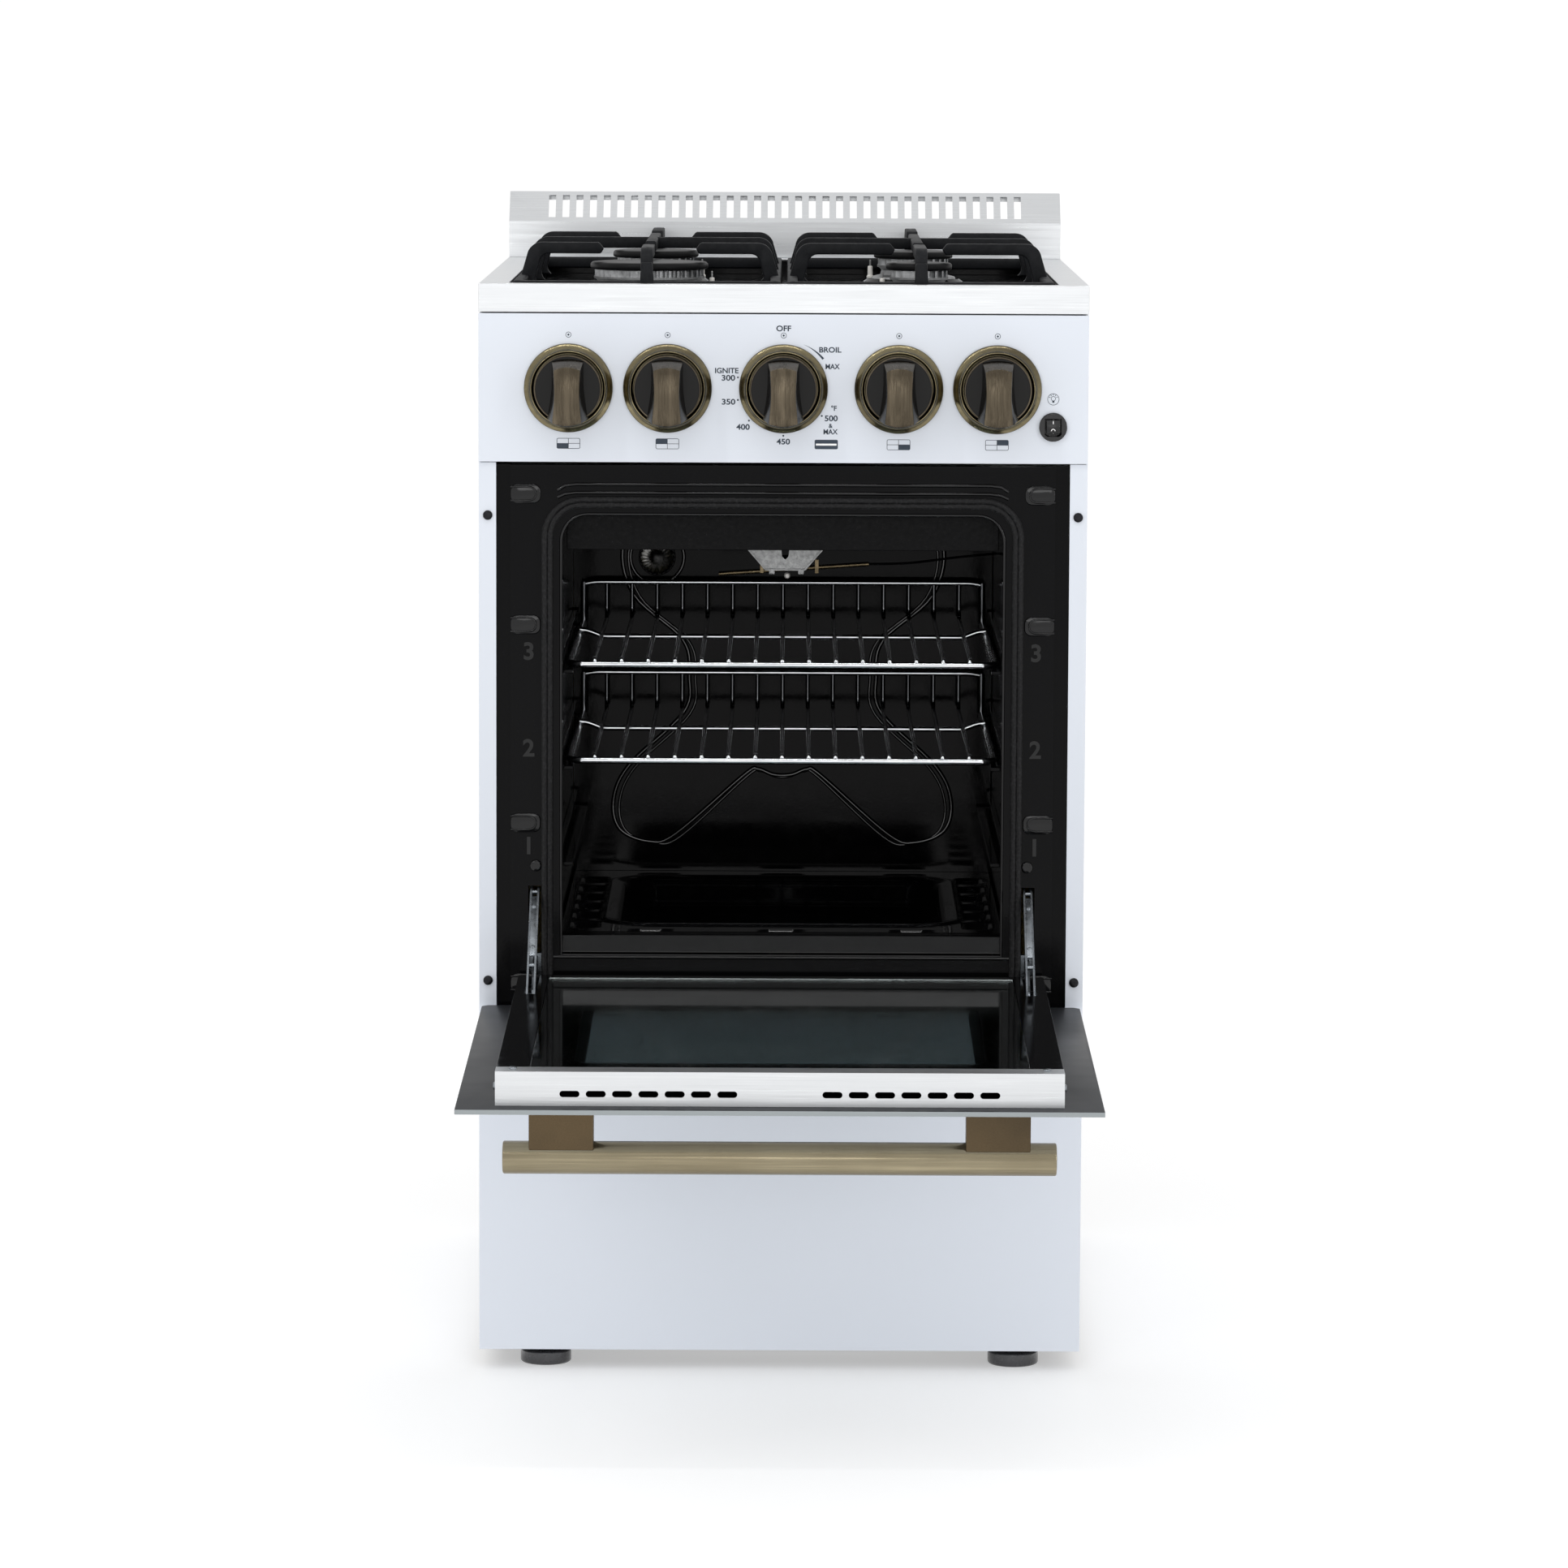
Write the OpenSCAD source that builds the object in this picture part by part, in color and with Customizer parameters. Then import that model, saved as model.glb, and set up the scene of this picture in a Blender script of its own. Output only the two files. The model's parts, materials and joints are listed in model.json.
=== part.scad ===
// Freestanding gas range with four burners, an oven and a storage drawer.
// Millimetres, +X right, +Y to the rear, +Z up. The origin is on the floor at
// the centre of the cabinet's footprint. Inside the modules y is measured from
// the face of the control panel, and in_cabinet() moves it to the origin.

/* [Cabinet] */
// Overall width
body_w = 505; // [500:1:510]
// Depth from the control panel's face to the rear cover
body_d = 640; // [638:1:650]
// Height of the cooktop rim above the floor
cooktop_h = 914; // [913:1:916]
// Height of the backguard above the floor
backguard_h = 973; // [968:1:985]
// Thickness of the cabinet's sheet metal
sheet = 1.2; // [1:0.1:1.3]

/* [Oven door] */
// Angle of the door from closed, as stored
door_open = 91.5; // [0:0.5:91.5]
// Height of the hinge axis above the floor
hinge_z = 321.7; // [321:0.1:322]
// Width of the outer door panel
door_w = 500; // [490:1:502]
// Height of the outer door panel
door_h = 460; // [455:1:461]
// Diameter of the handle bar
handle_d = 25.7; // [20:0.1:28]

/* [Oven] */
// Width of the oven opening
opening_w = 366; // [364:1:368]
// Height of the oven opening's lower edge
opening_low = 353.5; // [350:0.5:356]
// Height of the oven opening's upper edge
opening_high = 722; // [718:1:724]
// Height of the lower rack's front bar
lower_rack_z = 513; // [505:1:520]
// Height between two rack levels
rack_step = 81; // [78:1:84]

/* [Knobs] */
// Diameter of the knob bezels
bezel_d = 73.6; // [70:0.1:75]
// Height of the knob centres above the floor
knob_z = 828; // [824:1:832]
// How far a knob stands out from the panel
knob_reach = 45; // [38:1:48]

/* [Hidden] */
$fn = 48;

half_w = body_w / 2;
skin_in = half_w - sheet;          // inner face of a side panel
floor_gap = 20;                    // lower edge of the side panels
drawer_top = 296;
panel_low = 766.6;                 // control panel's lower edge
panel_high = 889.5;                // control panel's upper edge
skirt_low = 890.5;                 // cooktop skirt's lower edge
rim_under = cooktop_h - 1.5;       // underside of the cooktop sheet
rear_y = body_d - sheet;           // inner face of the rear cover

frame_y = 3;                       // face of the oven's front frame
frame_half = 237.8;
flat_half = 226;                   // half width of the frame's flat face
frame_low = 298;
opening_r = 21;
slot_x = 206;                      // hinge centre plane, each side
slot_half = 5.5;
slot_low = 328;
slot_high = 412;

cavity_half = 188;
cavity_low = 305.2;
cavity_high = 728;
cavity_front = 14;
cavity_back = 440;
tray_z = 370;                      // top of the oven's bottom tray
lamp_x = -113;
lamp_z = 652;

hinge_y = -19.4;
glass_y = -34;                     // outer face of the door, closed
glass_t = 4;
door_low = 303;                    // lower edge of the outer panel, closed
pan_half = 219;                    // half width of the door's inner frame
pan_low = 312;
pan_high = 747.3;
pan_y = -3;                        // inner face of the door, closed
trim_drop = 20;
pivot_rise = 70;                   // link pivot above the hinge axis, closed
pivot_y = -11;
link_reach = 125;                  // length of a hinge link from its pivot
link_tilt = atan((pivot_y - hinge_y) / pivot_rise);
arm_half = 1.8;                    // half thickness of the cabinet's hinge arm
pin_r = 3;
pin_gap = 0.05;
bar_y = -74.8;                     // handle bar centre, door closed
bar_z = 723.9;
bar_half = 214.5;
post_x = 169;

knob_x = [-178, -96, 0, 95.5, 177];
stem_r = 3;
knob_r = 28;
knob_back = 5;                     // gap from the panel to the knob's back
disc_top = 20;
push_travel = 3.5;
switch_x = 223.4;
switch_z = 796.8;
rocker_tilt = 7;
rocker_y = 4;                      // rocker pivot behind the panel's face
rocker_pin_r = 1;

grate_x = 114;                     // centre of each grate
grate_half = 111.5;
grate_top = 943;
grate_foot = 900.6;
bar = 9;                           // width of a grate bar
front_row = 155;                   // burner rows and the bar between them
middle_row = 292;
rear_row = 430;
burner_x = 114.5;
// Each burner: x, y, cap radius, head radius
burners = [[-burner_x, front_row, 50, 46.5], [-burner_x, rear_row, 38, 33.5],
    [burner_x, front_row, 28, 24], [burner_x, rear_row, 35, 31.5]];
well_half = 228;
well_front = 14;
well_back = 576;
tray_floor = 899;

manifold_y = 72;
supply_x = 215;
inlet_z = 828;
tube_z = 856;
riser_x = 80;                      // oven gas pipe behind the oven
riser_y = 500;

foot_x = 198;
foot_y = [45, 600];
runner_z = [90, 130];
box_half = 222;
rack_half = 178;
wire_r = 1.9;
frame_r = 3;
rack_front = 45;
rack_back = 428;
wire_pitch = 22.5;
wire_x = [for (i = [-7 : 7]) i * wire_pitch];

// ---------- helpers ----------

module in_cabinet() { translate([0, -body_d / 2, 0]) children(); }

module on_door()
    in_cabinet() translate([0, hinge_y, hinge_z]) rotate([door_open, 0, 0])
        translate([0, -hinge_y, -hinge_z]) children();

module on_link()
    on_door() translate([0, pivot_y, hinge_z + pivot_rise]) rotate([-door_open / 2, 0, 0])
        translate([0, -pivot_y, -hinge_z - pivot_rise]) children();

module both_sides() { children(); mirror([1, 0, 0]) children(); }

// Box from ranges along x, y and z
module block(x, y, z)
    translate([x[0], y[0], z[0]]) cube([x[1] - x[0], y[1] - y[0], z[1] - z[0]]);

// Cylinder along y, from y[0] to y[1]
module rod_y(x, z, y, r) translate([x, y[0], z]) rotate([-90, 0, 0]) cylinder(h = y[1] - y[0], r = r);

// Cylinder along x, from x[0] to x[1]
module rod_x(y, z, x, r) translate([x[0], y, z]) rotate([0, 90, 0]) cylinder(h = x[1] - x[0], r = r);

// Cylinder along z, from z[0] to z[1]
module rod_z(x, y, z, r) translate([x, y, z[0]]) cylinder(h = z[1] - z[0], r = r);

// Rounded rectangle in the x-z plane, extruded along y
module round_slab(x, z, r, y)
    translate([0, y[1], 0]) rotate([90, 0, 0]) linear_extrude(y[1] - y[0]) round_rect(x, z, r);

module round_rect(x, z, r) {
    translate([x[0] + r, z[0]]) square([x[1] - x[0] - 2 * r, z[1] - z[0]]);
    translate([x[0], z[0] + r]) square([x[1] - x[0], z[1] - z[0] - 2 * r]);
    for (cx = [x[0] + r, x[1] - r], cz = [z[0] + r, z[1] - r]) translate([cx, cz]) circle(r);
}

// Outline in the y-z plane, extruded along x
module along_x(x) translate([x[0], 0, 0]) rotate([90, 0, 90]) linear_extrude(x[1] - x[0]) children();

// Outline in the x-y plane, extruded along z
module linear_z(z) translate([0, 0, z[0]]) linear_extrude(z[1] - z[0]) children();

// Slot with round ends, long in x, cut along z
module obround_z(x, y, z, length, width) {
    block([x - (length - width) / 2, x + (length - width) / 2], [y - width / 2, y + width / 2], z);
    for (s = [-1, 1]) rod_z(x + s * (length - width) / 2, y, z, width / 2);
}

// Straight round bar between two points
module link_rod(a, b, r) {
    d = b - a;
    flat = norm([d[0], d[1]]);
    translate(a) rotate([0, atan2(flat, d[2]), atan2(d[1], d[0])]) cylinder(h = norm(d), r = r);
}

// Round tube along a list of points, with a fitting ball at each bend
module tube_path(points, r) {
    for (i = [1 : len(points) - 1]) link_rod(points[i - 1], points[i], r);
    for (i = [1 : len(points) - 2]) translate(points[i]) sphere(r + 0.8);
}

function arc_points(c, r, a0, a1, n) =
    [for (i = [0 : n]) c + r * [cos(a0 + (a1 - a0) * i / n), sin(a0 + (a1 - a0) * i / n)]];

// ---------- casing ----------

module side_panel() color("#dde3ee") in_cabinet() difference() {
    union() {
        block([skin_in, half_w], [frame_y, rear_y - 0.1], [drawer_top + 2, panel_high - 0.2]);
        block([skin_in, half_w], [frame_y + 17, rear_y - 0.1], [floor_gap, drawer_top + 2.5]);
        block([frame_half + 0.2, half_w], [frame_y, frame_y + sheet], [drawer_top + 2, panel_low - 0.6]);
        block([frame_half, skin_in + 0.1], [rear_y - 0.1 - sheet, rear_y - 0.1], [floor_gap, panel_high - 0.2]);
    }
    for (z = [332, 722]) rod_y(245, z, [0, 10], 2);
}
module left_side_panel() { mirror([1, 0, 0]) side_panel(); }
module right_side_panel() { side_panel(); }

module rear_cover() color("#9aa0a8") in_cabinet() difference() {
    block([-skin_in + 0.3, skin_in - 0.3], [rear_y, body_d], [45, panel_high - 0.2]);
    rod_y(supply_x, inlet_z, [rear_y - 5, body_d + 5], 24);
    rod_y(-200, 640, [rear_y - 5, body_d + 5], 11);
    for (row = [0 : 5], s = [-1, 1])
        block([s * 90 - 45, s * 90 + 45], [rear_y - 5, body_d + 5], [560 + 16 * row, 565 + 16 * row]);
}

module base_frame() color("#3a3d42") in_cabinet() difference() {
    union() {
        both_sides() {
            block([skin_in - 1.4, skin_in - 0.2], [24, rear_y - 2], [18, 60]);
            block([175, skin_in - 0.2], [24, rear_y - 2], [18, 20]);
        }
        for (y = [[24, 70], [575, rear_y - 2]]) block([-skin_in + 0.2, skin_in - 0.2], y, [18, 20]);
        block([-skin_in + 0.2, skin_in - 0.2], [24, 25.5], [18, 44]);
        block([-skin_in + 0.2, skin_in - 0.2], [rear_y - 3.5, rear_y - 2], [18, 60]);
        both_sides() for (y = foot_y) rod_z(foot_x, y, [20, 30], 9);
    }
    both_sides() for (y = foot_y) rod_z(foot_x, y, [17, 31], 5);
}

module levelling_feet() color("#1d1e21") in_cabinet() both_sides() for (y = foot_y) {
    translate([foot_x, y, 0]) rotate_extrude() polygon([[0, 0], [19.5, 0], [21.5, 2], [21.5, 11],
        [20, 13], [12, 13], [12, 17.8], [4.9, 17.8], [4.9, 40], [0, 40]]);
}

module drawer_runners() color("#b9bec4") in_cabinet() both_sides() {
    block([skin_in - 1.9, skin_in - 0.7], [26, 560], runner_z);
    block([228, skin_in - 0.7], [26, 560], [runner_z[1] - 1.2, runner_z[1]]);
    block([228, skin_in - 0.7], [26, 560], [runner_z[0], runner_z[0] + 1.2]);
}

module control_panel() color("#dfe5f0") in_cabinet() difference() {
    union() {
        block([-half_w, half_w], [0, 1.5], [panel_low, panel_high]);
        block([-half_w + 2.6, half_w - 2.6], [0, 40], [panel_high - 1.5, panel_high]);
        block([-half_w + 2.6, half_w - 2.6], [0, 25], [panel_low, panel_low + 1.2]);
        both_sides() block([skin_in - 1.4, skin_in - 0.2], [0, 28], [panel_low, panel_high]);
    }
    for (x = knob_x) rod_y(x, knob_z, [-2, 5], 7);
    rod_y(switch_x, switch_z, [-2, 5], 9.6);
}

module knob_bezels() color("#8a7a52") in_cabinet() for (x = knob_x)
    translate([x, 0, knob_z]) rotate([90, 0, 0]) rotate_extrude() polygon(concat(
        [[14, 0], [bezel_d / 2, 0], [bezel_d / 2, 2.2]],
        arc_points([bezel_d / 2 + 2.8, 11.6], 8.6, 248, 184, 8),
        [[30.6, 12.2], [29.9, 11.6], [29.9, 1], [14, 1]]));

module light_switch_body() color("#141518") in_cabinet() difference() {
    union() {
        rod_y(switch_x, switch_z, [-3, 0], 11.5);
        rod_y(switch_x, switch_z, [-0.1, 22], 9.5);
    }
    block([switch_x - 7, switch_x + 7], [-4, 12], [switch_z - 7.5, switch_z + 7.5]);
    rod_x(rocker_y, switch_z, [switch_x - 8.6, switch_x + 8.6], rocker_pin_r + pin_gap);
}

module cooktop_frame() color("#c9c9c6") in_cabinet() difference() {
    union() {
        block([-half_w, half_w], [0, body_d], [rim_under, cooktop_h]);
        block([-half_w, half_w], [0, 1.5], [skirt_low, cooktop_h]);
        block([-half_w, half_w], [body_d - 1.5, body_d], [skirt_low, cooktop_h]);
        both_sides() block([half_w - 1.5, half_w], [0, body_d], [skirt_low, cooktop_h]);
    }
    linear_z([rim_under - 1, cooktop_h + 1])
        round_rect([-well_half, well_half], [well_front, well_back], 9);
    block([-59, 59], [603.5, 632.5], [rim_under - 1, cooktop_h + 1]);
}

module burner_tray() color("#17181b") in_cabinet() {
    in = well_half - 0.6;
    difference() {
        union() {
            linear_z([tray_floor, rim_under - 0.2])
                round_rect([-in, in], [well_front + 0.6, well_back - 0.6], 8.4);
            linear_z([rim_under - 1.4, rim_under - 0.2])
                round_rect([-in - 9, in + 9], [well_front - 8, well_back + 8], 12);
        }
        linear_z([tray_floor + 1.2, cooktop_h])
            round_rect([-in + 1.2, in - 1.2], [well_front + 1.8, well_back - 1.8], 7.2);
        for (b = burners) rod_z(b[0], b[1], [tray_floor - 5, tray_floor + 5], 10);
    }
    for (b = burners) difference() {
        translate([b[0], b[1], tray_floor + 1]) cylinder(h = 2.6, r1 = b[2] + 10, r2 = b[2] + 6);
        rod_z(b[0], b[1], [tray_floor - 5, tray_floor + 9], 10);
    }
}

module backguard() color("#c9c9c6") in_cabinet() {
    top = backguard_h;
    bend = 946.6;
    face = 602;
    lean = top - bend;
    t = sheet;
    slope_end = face + lean;
    outer = [[face, cooktop_h + 0.2], [face, bend], [slope_end, top], [body_d, top],
        [body_d, cooktop_h + 0.2]];
    inner = [[face + t, cooktop_h - 1], [face + t, bend - 0.5], [slope_end + 0.5, top - t],
        [body_d - t, top - t], [body_d - t, cooktop_h - 1]];
    slots = 35;
    pitch = 12.55;
    difference() {
        along_x([-half_w, half_w]) polygon(outer);
        along_x([-half_w + t, half_w - t]) polygon(inner);
        block([-half_w + 12, half_w - 12], [body_d - 5, body_d + 5], [bend - 2, top - 8]);
        for (i = [0 : slots - 1])
            translate([(i - (slots - 1) / 2) * pitch, face, bend]) rotate([-45, 0, 0])
                block([-3.15, 3.15], [-3, 3], [0.14 * lean * sqrt(2), 0.88 * lean * sqrt(2)]);
    }
}

// Three legs of the flue, shrunk by g on every wall
module flue_legs(w, g) {
    block([-w, w], [404 + g, 436 - g], [cavity_high + 1.4 - 5 * g, 795 - g]);
    block([-w, w], [404 + g, 634 - g], [768 + g, 795 - g]);
    block([-w, w], [602.5 + g, 634 - g], [768 + g, rim_under - 0.3 + 5 * g]);
}

module flue_duct() color("#8c9197") in_cabinet() difference() {
    flue_legs(60, 0);
    flue_legs(59, 1);
}

module panel_screws() color("#111214") in_cabinet() both_sides() for (z = [332, 722]) {
    translate([245, frame_y - 0.1, z]) rotate([90, 0, 0]) rotate_extrude()
        polygon([[0, 0], [4, 0], [4, 0.8], [2.8, 2.2], [0, 2.6]]);
    rod_y(245, z, [frame_y - 0.1, 12], 1.9);
}

// ---------- oven ----------

// The oven opening, grown by g: round upper corners and square lower ones
module opening_slab(g, y) {
    x = [-opening_w / 2 - g, opening_w / 2 + g];
    round_slab(x, [opening_low - g, opening_high + g], opening_r + g, y);
    block(x, y, [opening_low - g, opening_low + opening_r + 1]);
}

module oven_front_frame() color("#101113") in_cabinet() {
    t = sheet;
    difference() {
        union() {
            block([-flat_half, flat_half], [frame_y, frame_y + t], [frame_low, panel_low - 2.6]);
            both_sides() {
                block([flat_half - t, flat_half], [frame_y, 10 + t], [frame_low, panel_low - 2.6]);
                block([flat_half - t, frame_half], [10, 10 + t], [frame_low, panel_low - 2.6]);
            }
            opening_slab(t, [frame_y, cavity_front - 0.2]);
        }
        opening_slab(0, [frame_y - 1, cavity_front + 1]);
        both_sides()
            block([slot_x - slot_half, slot_x + slot_half], [frame_y - 1, 9], [slot_low, slot_high]);
    }
}

module gasket_section() {
    for (s = [-1.85, 1.85]) translate([s, 0]) circle(2.65, $fn = 24);
    translate([-1.85, -2.65]) square([3.7, 5.3]);
}

// Runs up one side of the opening, over the top and down the other side
module door_gasket() color("#1a1a1c") in_cabinet() {
    cx = 167;
    top = 704.7;
    low = 337.3;
    bend = 28.5;
    translate([0, frame_y - 2.65, 0]) rotate([90, 0, 0]) {
        both_sides() translate([cx + bend, top]) rotate([90, 0, 0]) linear_extrude(top - low) gasket_section();
        translate([-cx, top + bend]) rotate([90, 0, 90]) linear_extrude(2 * cx) gasket_section();
        for (s = [0, 1]) translate([cx - 2 * cx * s, top]) rotate([0, 0, 90 * s])
            rotate_extrude(angle = 90) translate([bend, 0]) gasket_section();
    }
}

// Liner of five sheets, joined at their edges
module oven_cavity() color("#131416") in_cabinet() {
    t = sheet;
    in = cavity_half - 0.05;
    depth = [cavity_front, cavity_back + t];
    both_sides() block([cavity_half, cavity_half + t], depth, [cavity_low - t, cavity_high + t]);
    block([-in, in], depth, [cavity_low - t, cavity_low]);
    difference() {
        block([-in, in], depth, [cavity_high, cavity_high + t]);
        block([-58, 58], [406, 434], [cavity_high - 1, cavity_high + 5]);
    }
    difference() {
        block([-in, in], [cavity_back, cavity_back + t], [cavity_low + 0.05, cavity_high - 0.05]);
        rod_y(lamp_x, lamp_z, [cavity_back - 1, cavity_back + 5], 13);
    }
    for (level = [-1, 0, 1]) both_sides() {
        z = lower_rack_z + level * rack_step;
        block([175, cavity_half - 0.05], [30, 425], [z - frame_r - 3.4, z - frame_r - 0.4]);
        block([184, cavity_half - 0.05], [30, 425], [z + frame_r + 5, z + frame_r + 8]);
    }
}

module oven_bottom_tray() color("#131416") in_cabinet() {
    t = sheet;
    recess = 26;
    difference() {
        union() {
            block([-186, 186], [16, 438], [tray_z - t, tray_z]);
            both_sides() block([186 - t, 186], [16, 438], [tray_z - 14, tray_z]);
            block([-186, 186], [16, 16 + t], [tray_z - 14, tray_z]);
            linear_z([tray_z - recess, tray_z]) round_rect([-140, 140], [92, 392], 30);
        }
        linear_z([tray_z - recess + t, tray_z + 1]) round_rect([-140 + t, 140 - t], [92 + t, 392 - t], 29);
        for (x = [-110, 110], y = [50, 415]) obround_z(x, y, [tray_z - 5, tray_z + 5], 30, 8);
    }
}

module broiler_baffle() color("#1b1c1e") in_cabinet() {
    block([-180, 180], [24, 24 + sheet], [692, cavity_high - 0.3]);
    block([-180, 180], [24, 60], [692, 692 + sheet]);
}

module insulation() color("#c9b26a") in_cabinet() difference() {
    g = sheet + 0.2;
    block([-212, 212], [20, 466], [cavity_low - sheet, 752]);
    block([-cavity_half - g, cavity_half + g], [19, cavity_back + g], [cavity_low - 5, cavity_high + g]);
    block([-61, 61], [403, 437], [cavity_high, 760]);
    both_sides() block([196, 214], [19, 142], [324, 425]);
    rod_y(lamp_x, lamp_z, [cavity_back, 470], 19);
}

module heat_shields() color("#a9adb2") in_cabinet() {
    difference() {
        block([-skin_in + 0.4, skin_in - 0.4], [22, 600], [754, 755.2]);
        block([-61, 61], [403, 437], [750, 760]);
        rod_z(riser_x, riser_y, [750, 760], 6);
    }
    block([-skin_in + 3, skin_in - 3], [22, 600], [frame_low + 1.5, frame_low + 2.7]);
}

module oven_lamp() color("#d8d8d0") in_cabinet() {
    translate([lamp_x, cavity_back - 0.2, lamp_z]) rotate([90, 0, 0]) rotate_extrude()
        polygon(concat([[0, 0], [16.5, 0], [16.5, 3]], arc_points([0, 3], 15.5, 0, 90, 8)));
    rod_y(lamp_x, lamp_z, [cavity_back - 0.3, cavity_back + 30], 12.5);
}

module broil_burner() color("#a8a8a4") in_cabinet() {
    rod_y(2, 705, [70, cavity_back - 0.2], 10);
    for (y = [195, 330]) block([-12, 16], [y, y + 12], [714, cavity_high - 0.2]);
    translate([2, 330, 0]) rotate([90, 0, 0]) linear_extrude(150)
        polygon([[-50, 700], [-17, 662], [17, 662], [50, 700], [48.4, 700], [16.3, 663.2],
            [-16.3, 663.2], [-48.4, 700]]);
    for (s = [-1, 1]) translate([2, 200, 0]) rotate([90, 0, 0]) linear_extrude(8)
        polygon([[s * 15, 662.6], [s * 8, 700], [s * 10, 700], [s * 17, 662.6]]);
}

module bake_burner() color("#a8a8a4") in_cabinet() {
    rod_y(0, 322, [40, cavity_back - 0.2], 11);
    for (y = [60, 410]) block([-15, 15], [y, y + 10], [cavity_low + 0.2, 316]);
}

module thermostat_bulb() color("#b5935a") in_cabinet() {
    link_rod([-57, 300, 648.5], [75, 300, 658], 2.2);
    link_rod([75, 300, 658], [cavity_half - 0.2, 300, 668], 1.2);
    for (x = [-20, 28]) block([x, x + 3], [297, 303], [650, 661.8]);
}

// ---------- gas and ignition ----------

module gas_manifold() color("#6d7075") in_cabinet() difference() {
    union() {
        rod_x(manifold_y, knob_z, [-205, supply_x], 9);
        rod_y(supply_x, inlet_z, [manifold_y, 560], 9);
        translate([supply_x, manifold_y, inlet_z]) sphere(11);
    }
    rod_x(manifold_y, knob_z, [-190, supply_x], 7);
    rod_y(supply_x, inlet_z, [manifold_y, 561], 7);
}

module gas_valves() color("#c2a560") in_cabinet() for (i = [0 : 4]) {
    r = i == 2 ? 17 : 11;
    difference() {
        union() {
            rod_y(knob_x[i], knob_z, [10, 24], 8);
            rod_y(knob_x[i], knob_z, [24, manifold_y - 8.6], r);
            rod_z(knob_x[i], 45, [knob_z + r - 2, tube_z - 5], 6);
        }
        rod_y(knob_x[i], knob_z, [9, 44], stem_r + pin_gap);
        rod_x(manifold_y, knob_z, [knob_x[i] - 30, knob_x[i] + 30], 9.1);
    }
}

module gas_tubes() color("#c4c6c8") in_cabinet() {
    lead = [knob_x[0], knob_x[1], knob_x[3], knob_x[4]];
    for (i = [0 : 3]) {
        b = burners[i];
        tube_path([[lead[i], 45, tube_z - 5], [lead[i], 45, tube_z + 4], [lead[i], b[1], tube_z + 4],
            [b[0], b[1], tube_z + 4], [b[0], b[1], tube_z + 12]], 4);
        rod_z(b[0], b[1], [tube_z + 12, tray_floor - 6], 8);
    }
    tube_path([[0, 45, tube_z - 5], [0, 45, tube_z + 8], [riser_x, 45, tube_z + 8],
        [riser_x, riser_y, tube_z + 8], [riser_x, riser_y, 700]], 4);
}

module gas_inlet() color("#8f8466") in_cabinet() {
    rod_y(supply_x, inlet_z, [560.2, 606], 21);
    rod_y(supply_x, inlet_z, [606, 612], 14);
    rod_y(supply_x, inlet_z, [612, body_d - 2], 10.6);
}

module power_inlet() color("#1c1d20") in_cabinet() {
    rod_y(-200, 640, [rear_y - 12, body_d - 0.2], 10.8);
    block([-216, -184], [rear_y - 30, rear_y - 12], [624, 656]);
}

module spark_module() color("#e4e2da") in_cabinet() {
    block([-190, -130], [500, 560], [800, 830]);
    for (i = [0 : 3]) rod_z(-180 + 13 * i, 530, [830, 838], 3);
    block([-200, -120], [492, 568], [798.8, 800]);
}

module igniter_electrodes() color("#f1efe8") in_cabinet() for (b = burners) {
    side = b[0] < 0 ? 1 : -1;
    x = b[0] + side * (b[2] + 3.2);
    rod_z(x, b[1], [tray_floor + 3.8, 914], 2.2);
    rod_z(x, b[1], [914, 919], 0.8);
}

module burner_heads() color("#b9babb") in_cabinet() for (b = burners) difference() {
    union() {
        rod_z(b[0], b[1], [tray_floor + 3.8, 912], b[3] - 2);
        rod_z(b[0], b[1], [912, 920.6], b[3]);
        rod_z(b[0], b[1], [tray_floor - 5.8, tray_floor + 4], 9.6);
    }
    rod_z(b[0], b[1], [tray_floor - 7, 921], 5);
    rod_z(b[0], b[1], [914, 921], b[3] - 5);
}

module burner_caps() color("#1b1c1f") in_cabinet() for (b = burners)
    translate([b[0], b[1], 0]) rotate_extrude() polygon([[0, 920.8], [b[2] - 1.2, 920.8],
        [b[2], 922], [b[2], 924], [b[2] - 2.5, 926], [b[2] - 9, 927.2], [0, 927.6]]);

// ---------- door ----------

module door_outer_panel() color("#e8ecf2") on_door() {
    c = 5;
    w = door_w / 2;
    translate([0, glass_y + glass_t, 0]) rotate([90, 0, 0]) linear_extrude(glass_t)
        polygon([[-w + c, door_low], [w - c, door_low], [w, door_low + c], [w, door_low + door_h],
            [-w, door_low + door_h], [-w, door_low + c]]);
}

module door_inner_frame() color("#15161a") on_door() {
    t = sheet;
    back = glass_y + glass_t + 0.2;
    difference() {
        union() {
            both_sides() {
                block([pan_half - t, pan_half], [back, pan_y], [pan_low, pan_high - 22]);
                block([193.8, pan_half], [pan_y - t, pan_y], [pan_low, pan_high - 20.8]);
                block([193.8, 193.8 + t], [back, pan_y], [pan_low + 10, pan_high - 22]);
            }
            block([-pan_half, pan_half], [back, pan_y], [pan_low, pan_low + t]);
            block([-pan_half, pan_half], [pan_y - t, pan_y], [pan_low, pan_low + 10]);
            block([-195, 195], [back, back + t], [pan_low, pan_low + 40]);
            block([-pan_half, pan_half], [back, pan_y - 4.6], [pan_high - 23, pan_high - 21.8]);
        }
        both_sides() {
            block([slot_x - 5, slot_x + 5], [pan_y - 2, pan_y + 1], [pan_low - 1, 402]);
            block([slot_x - 5, slot_x + 5], [-28, pan_y + 1], [pan_low - 1, pan_low + 3]);
        }
    }
}

module door_inner_glass() color([0.3, 0.33, 0.36, 0.6]) on_door()
    block([-193.4, 193.4], [pan_y - 4.2, pan_y - 0.2], [pan_low + 10.3, pan_high - 21.2]);

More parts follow.
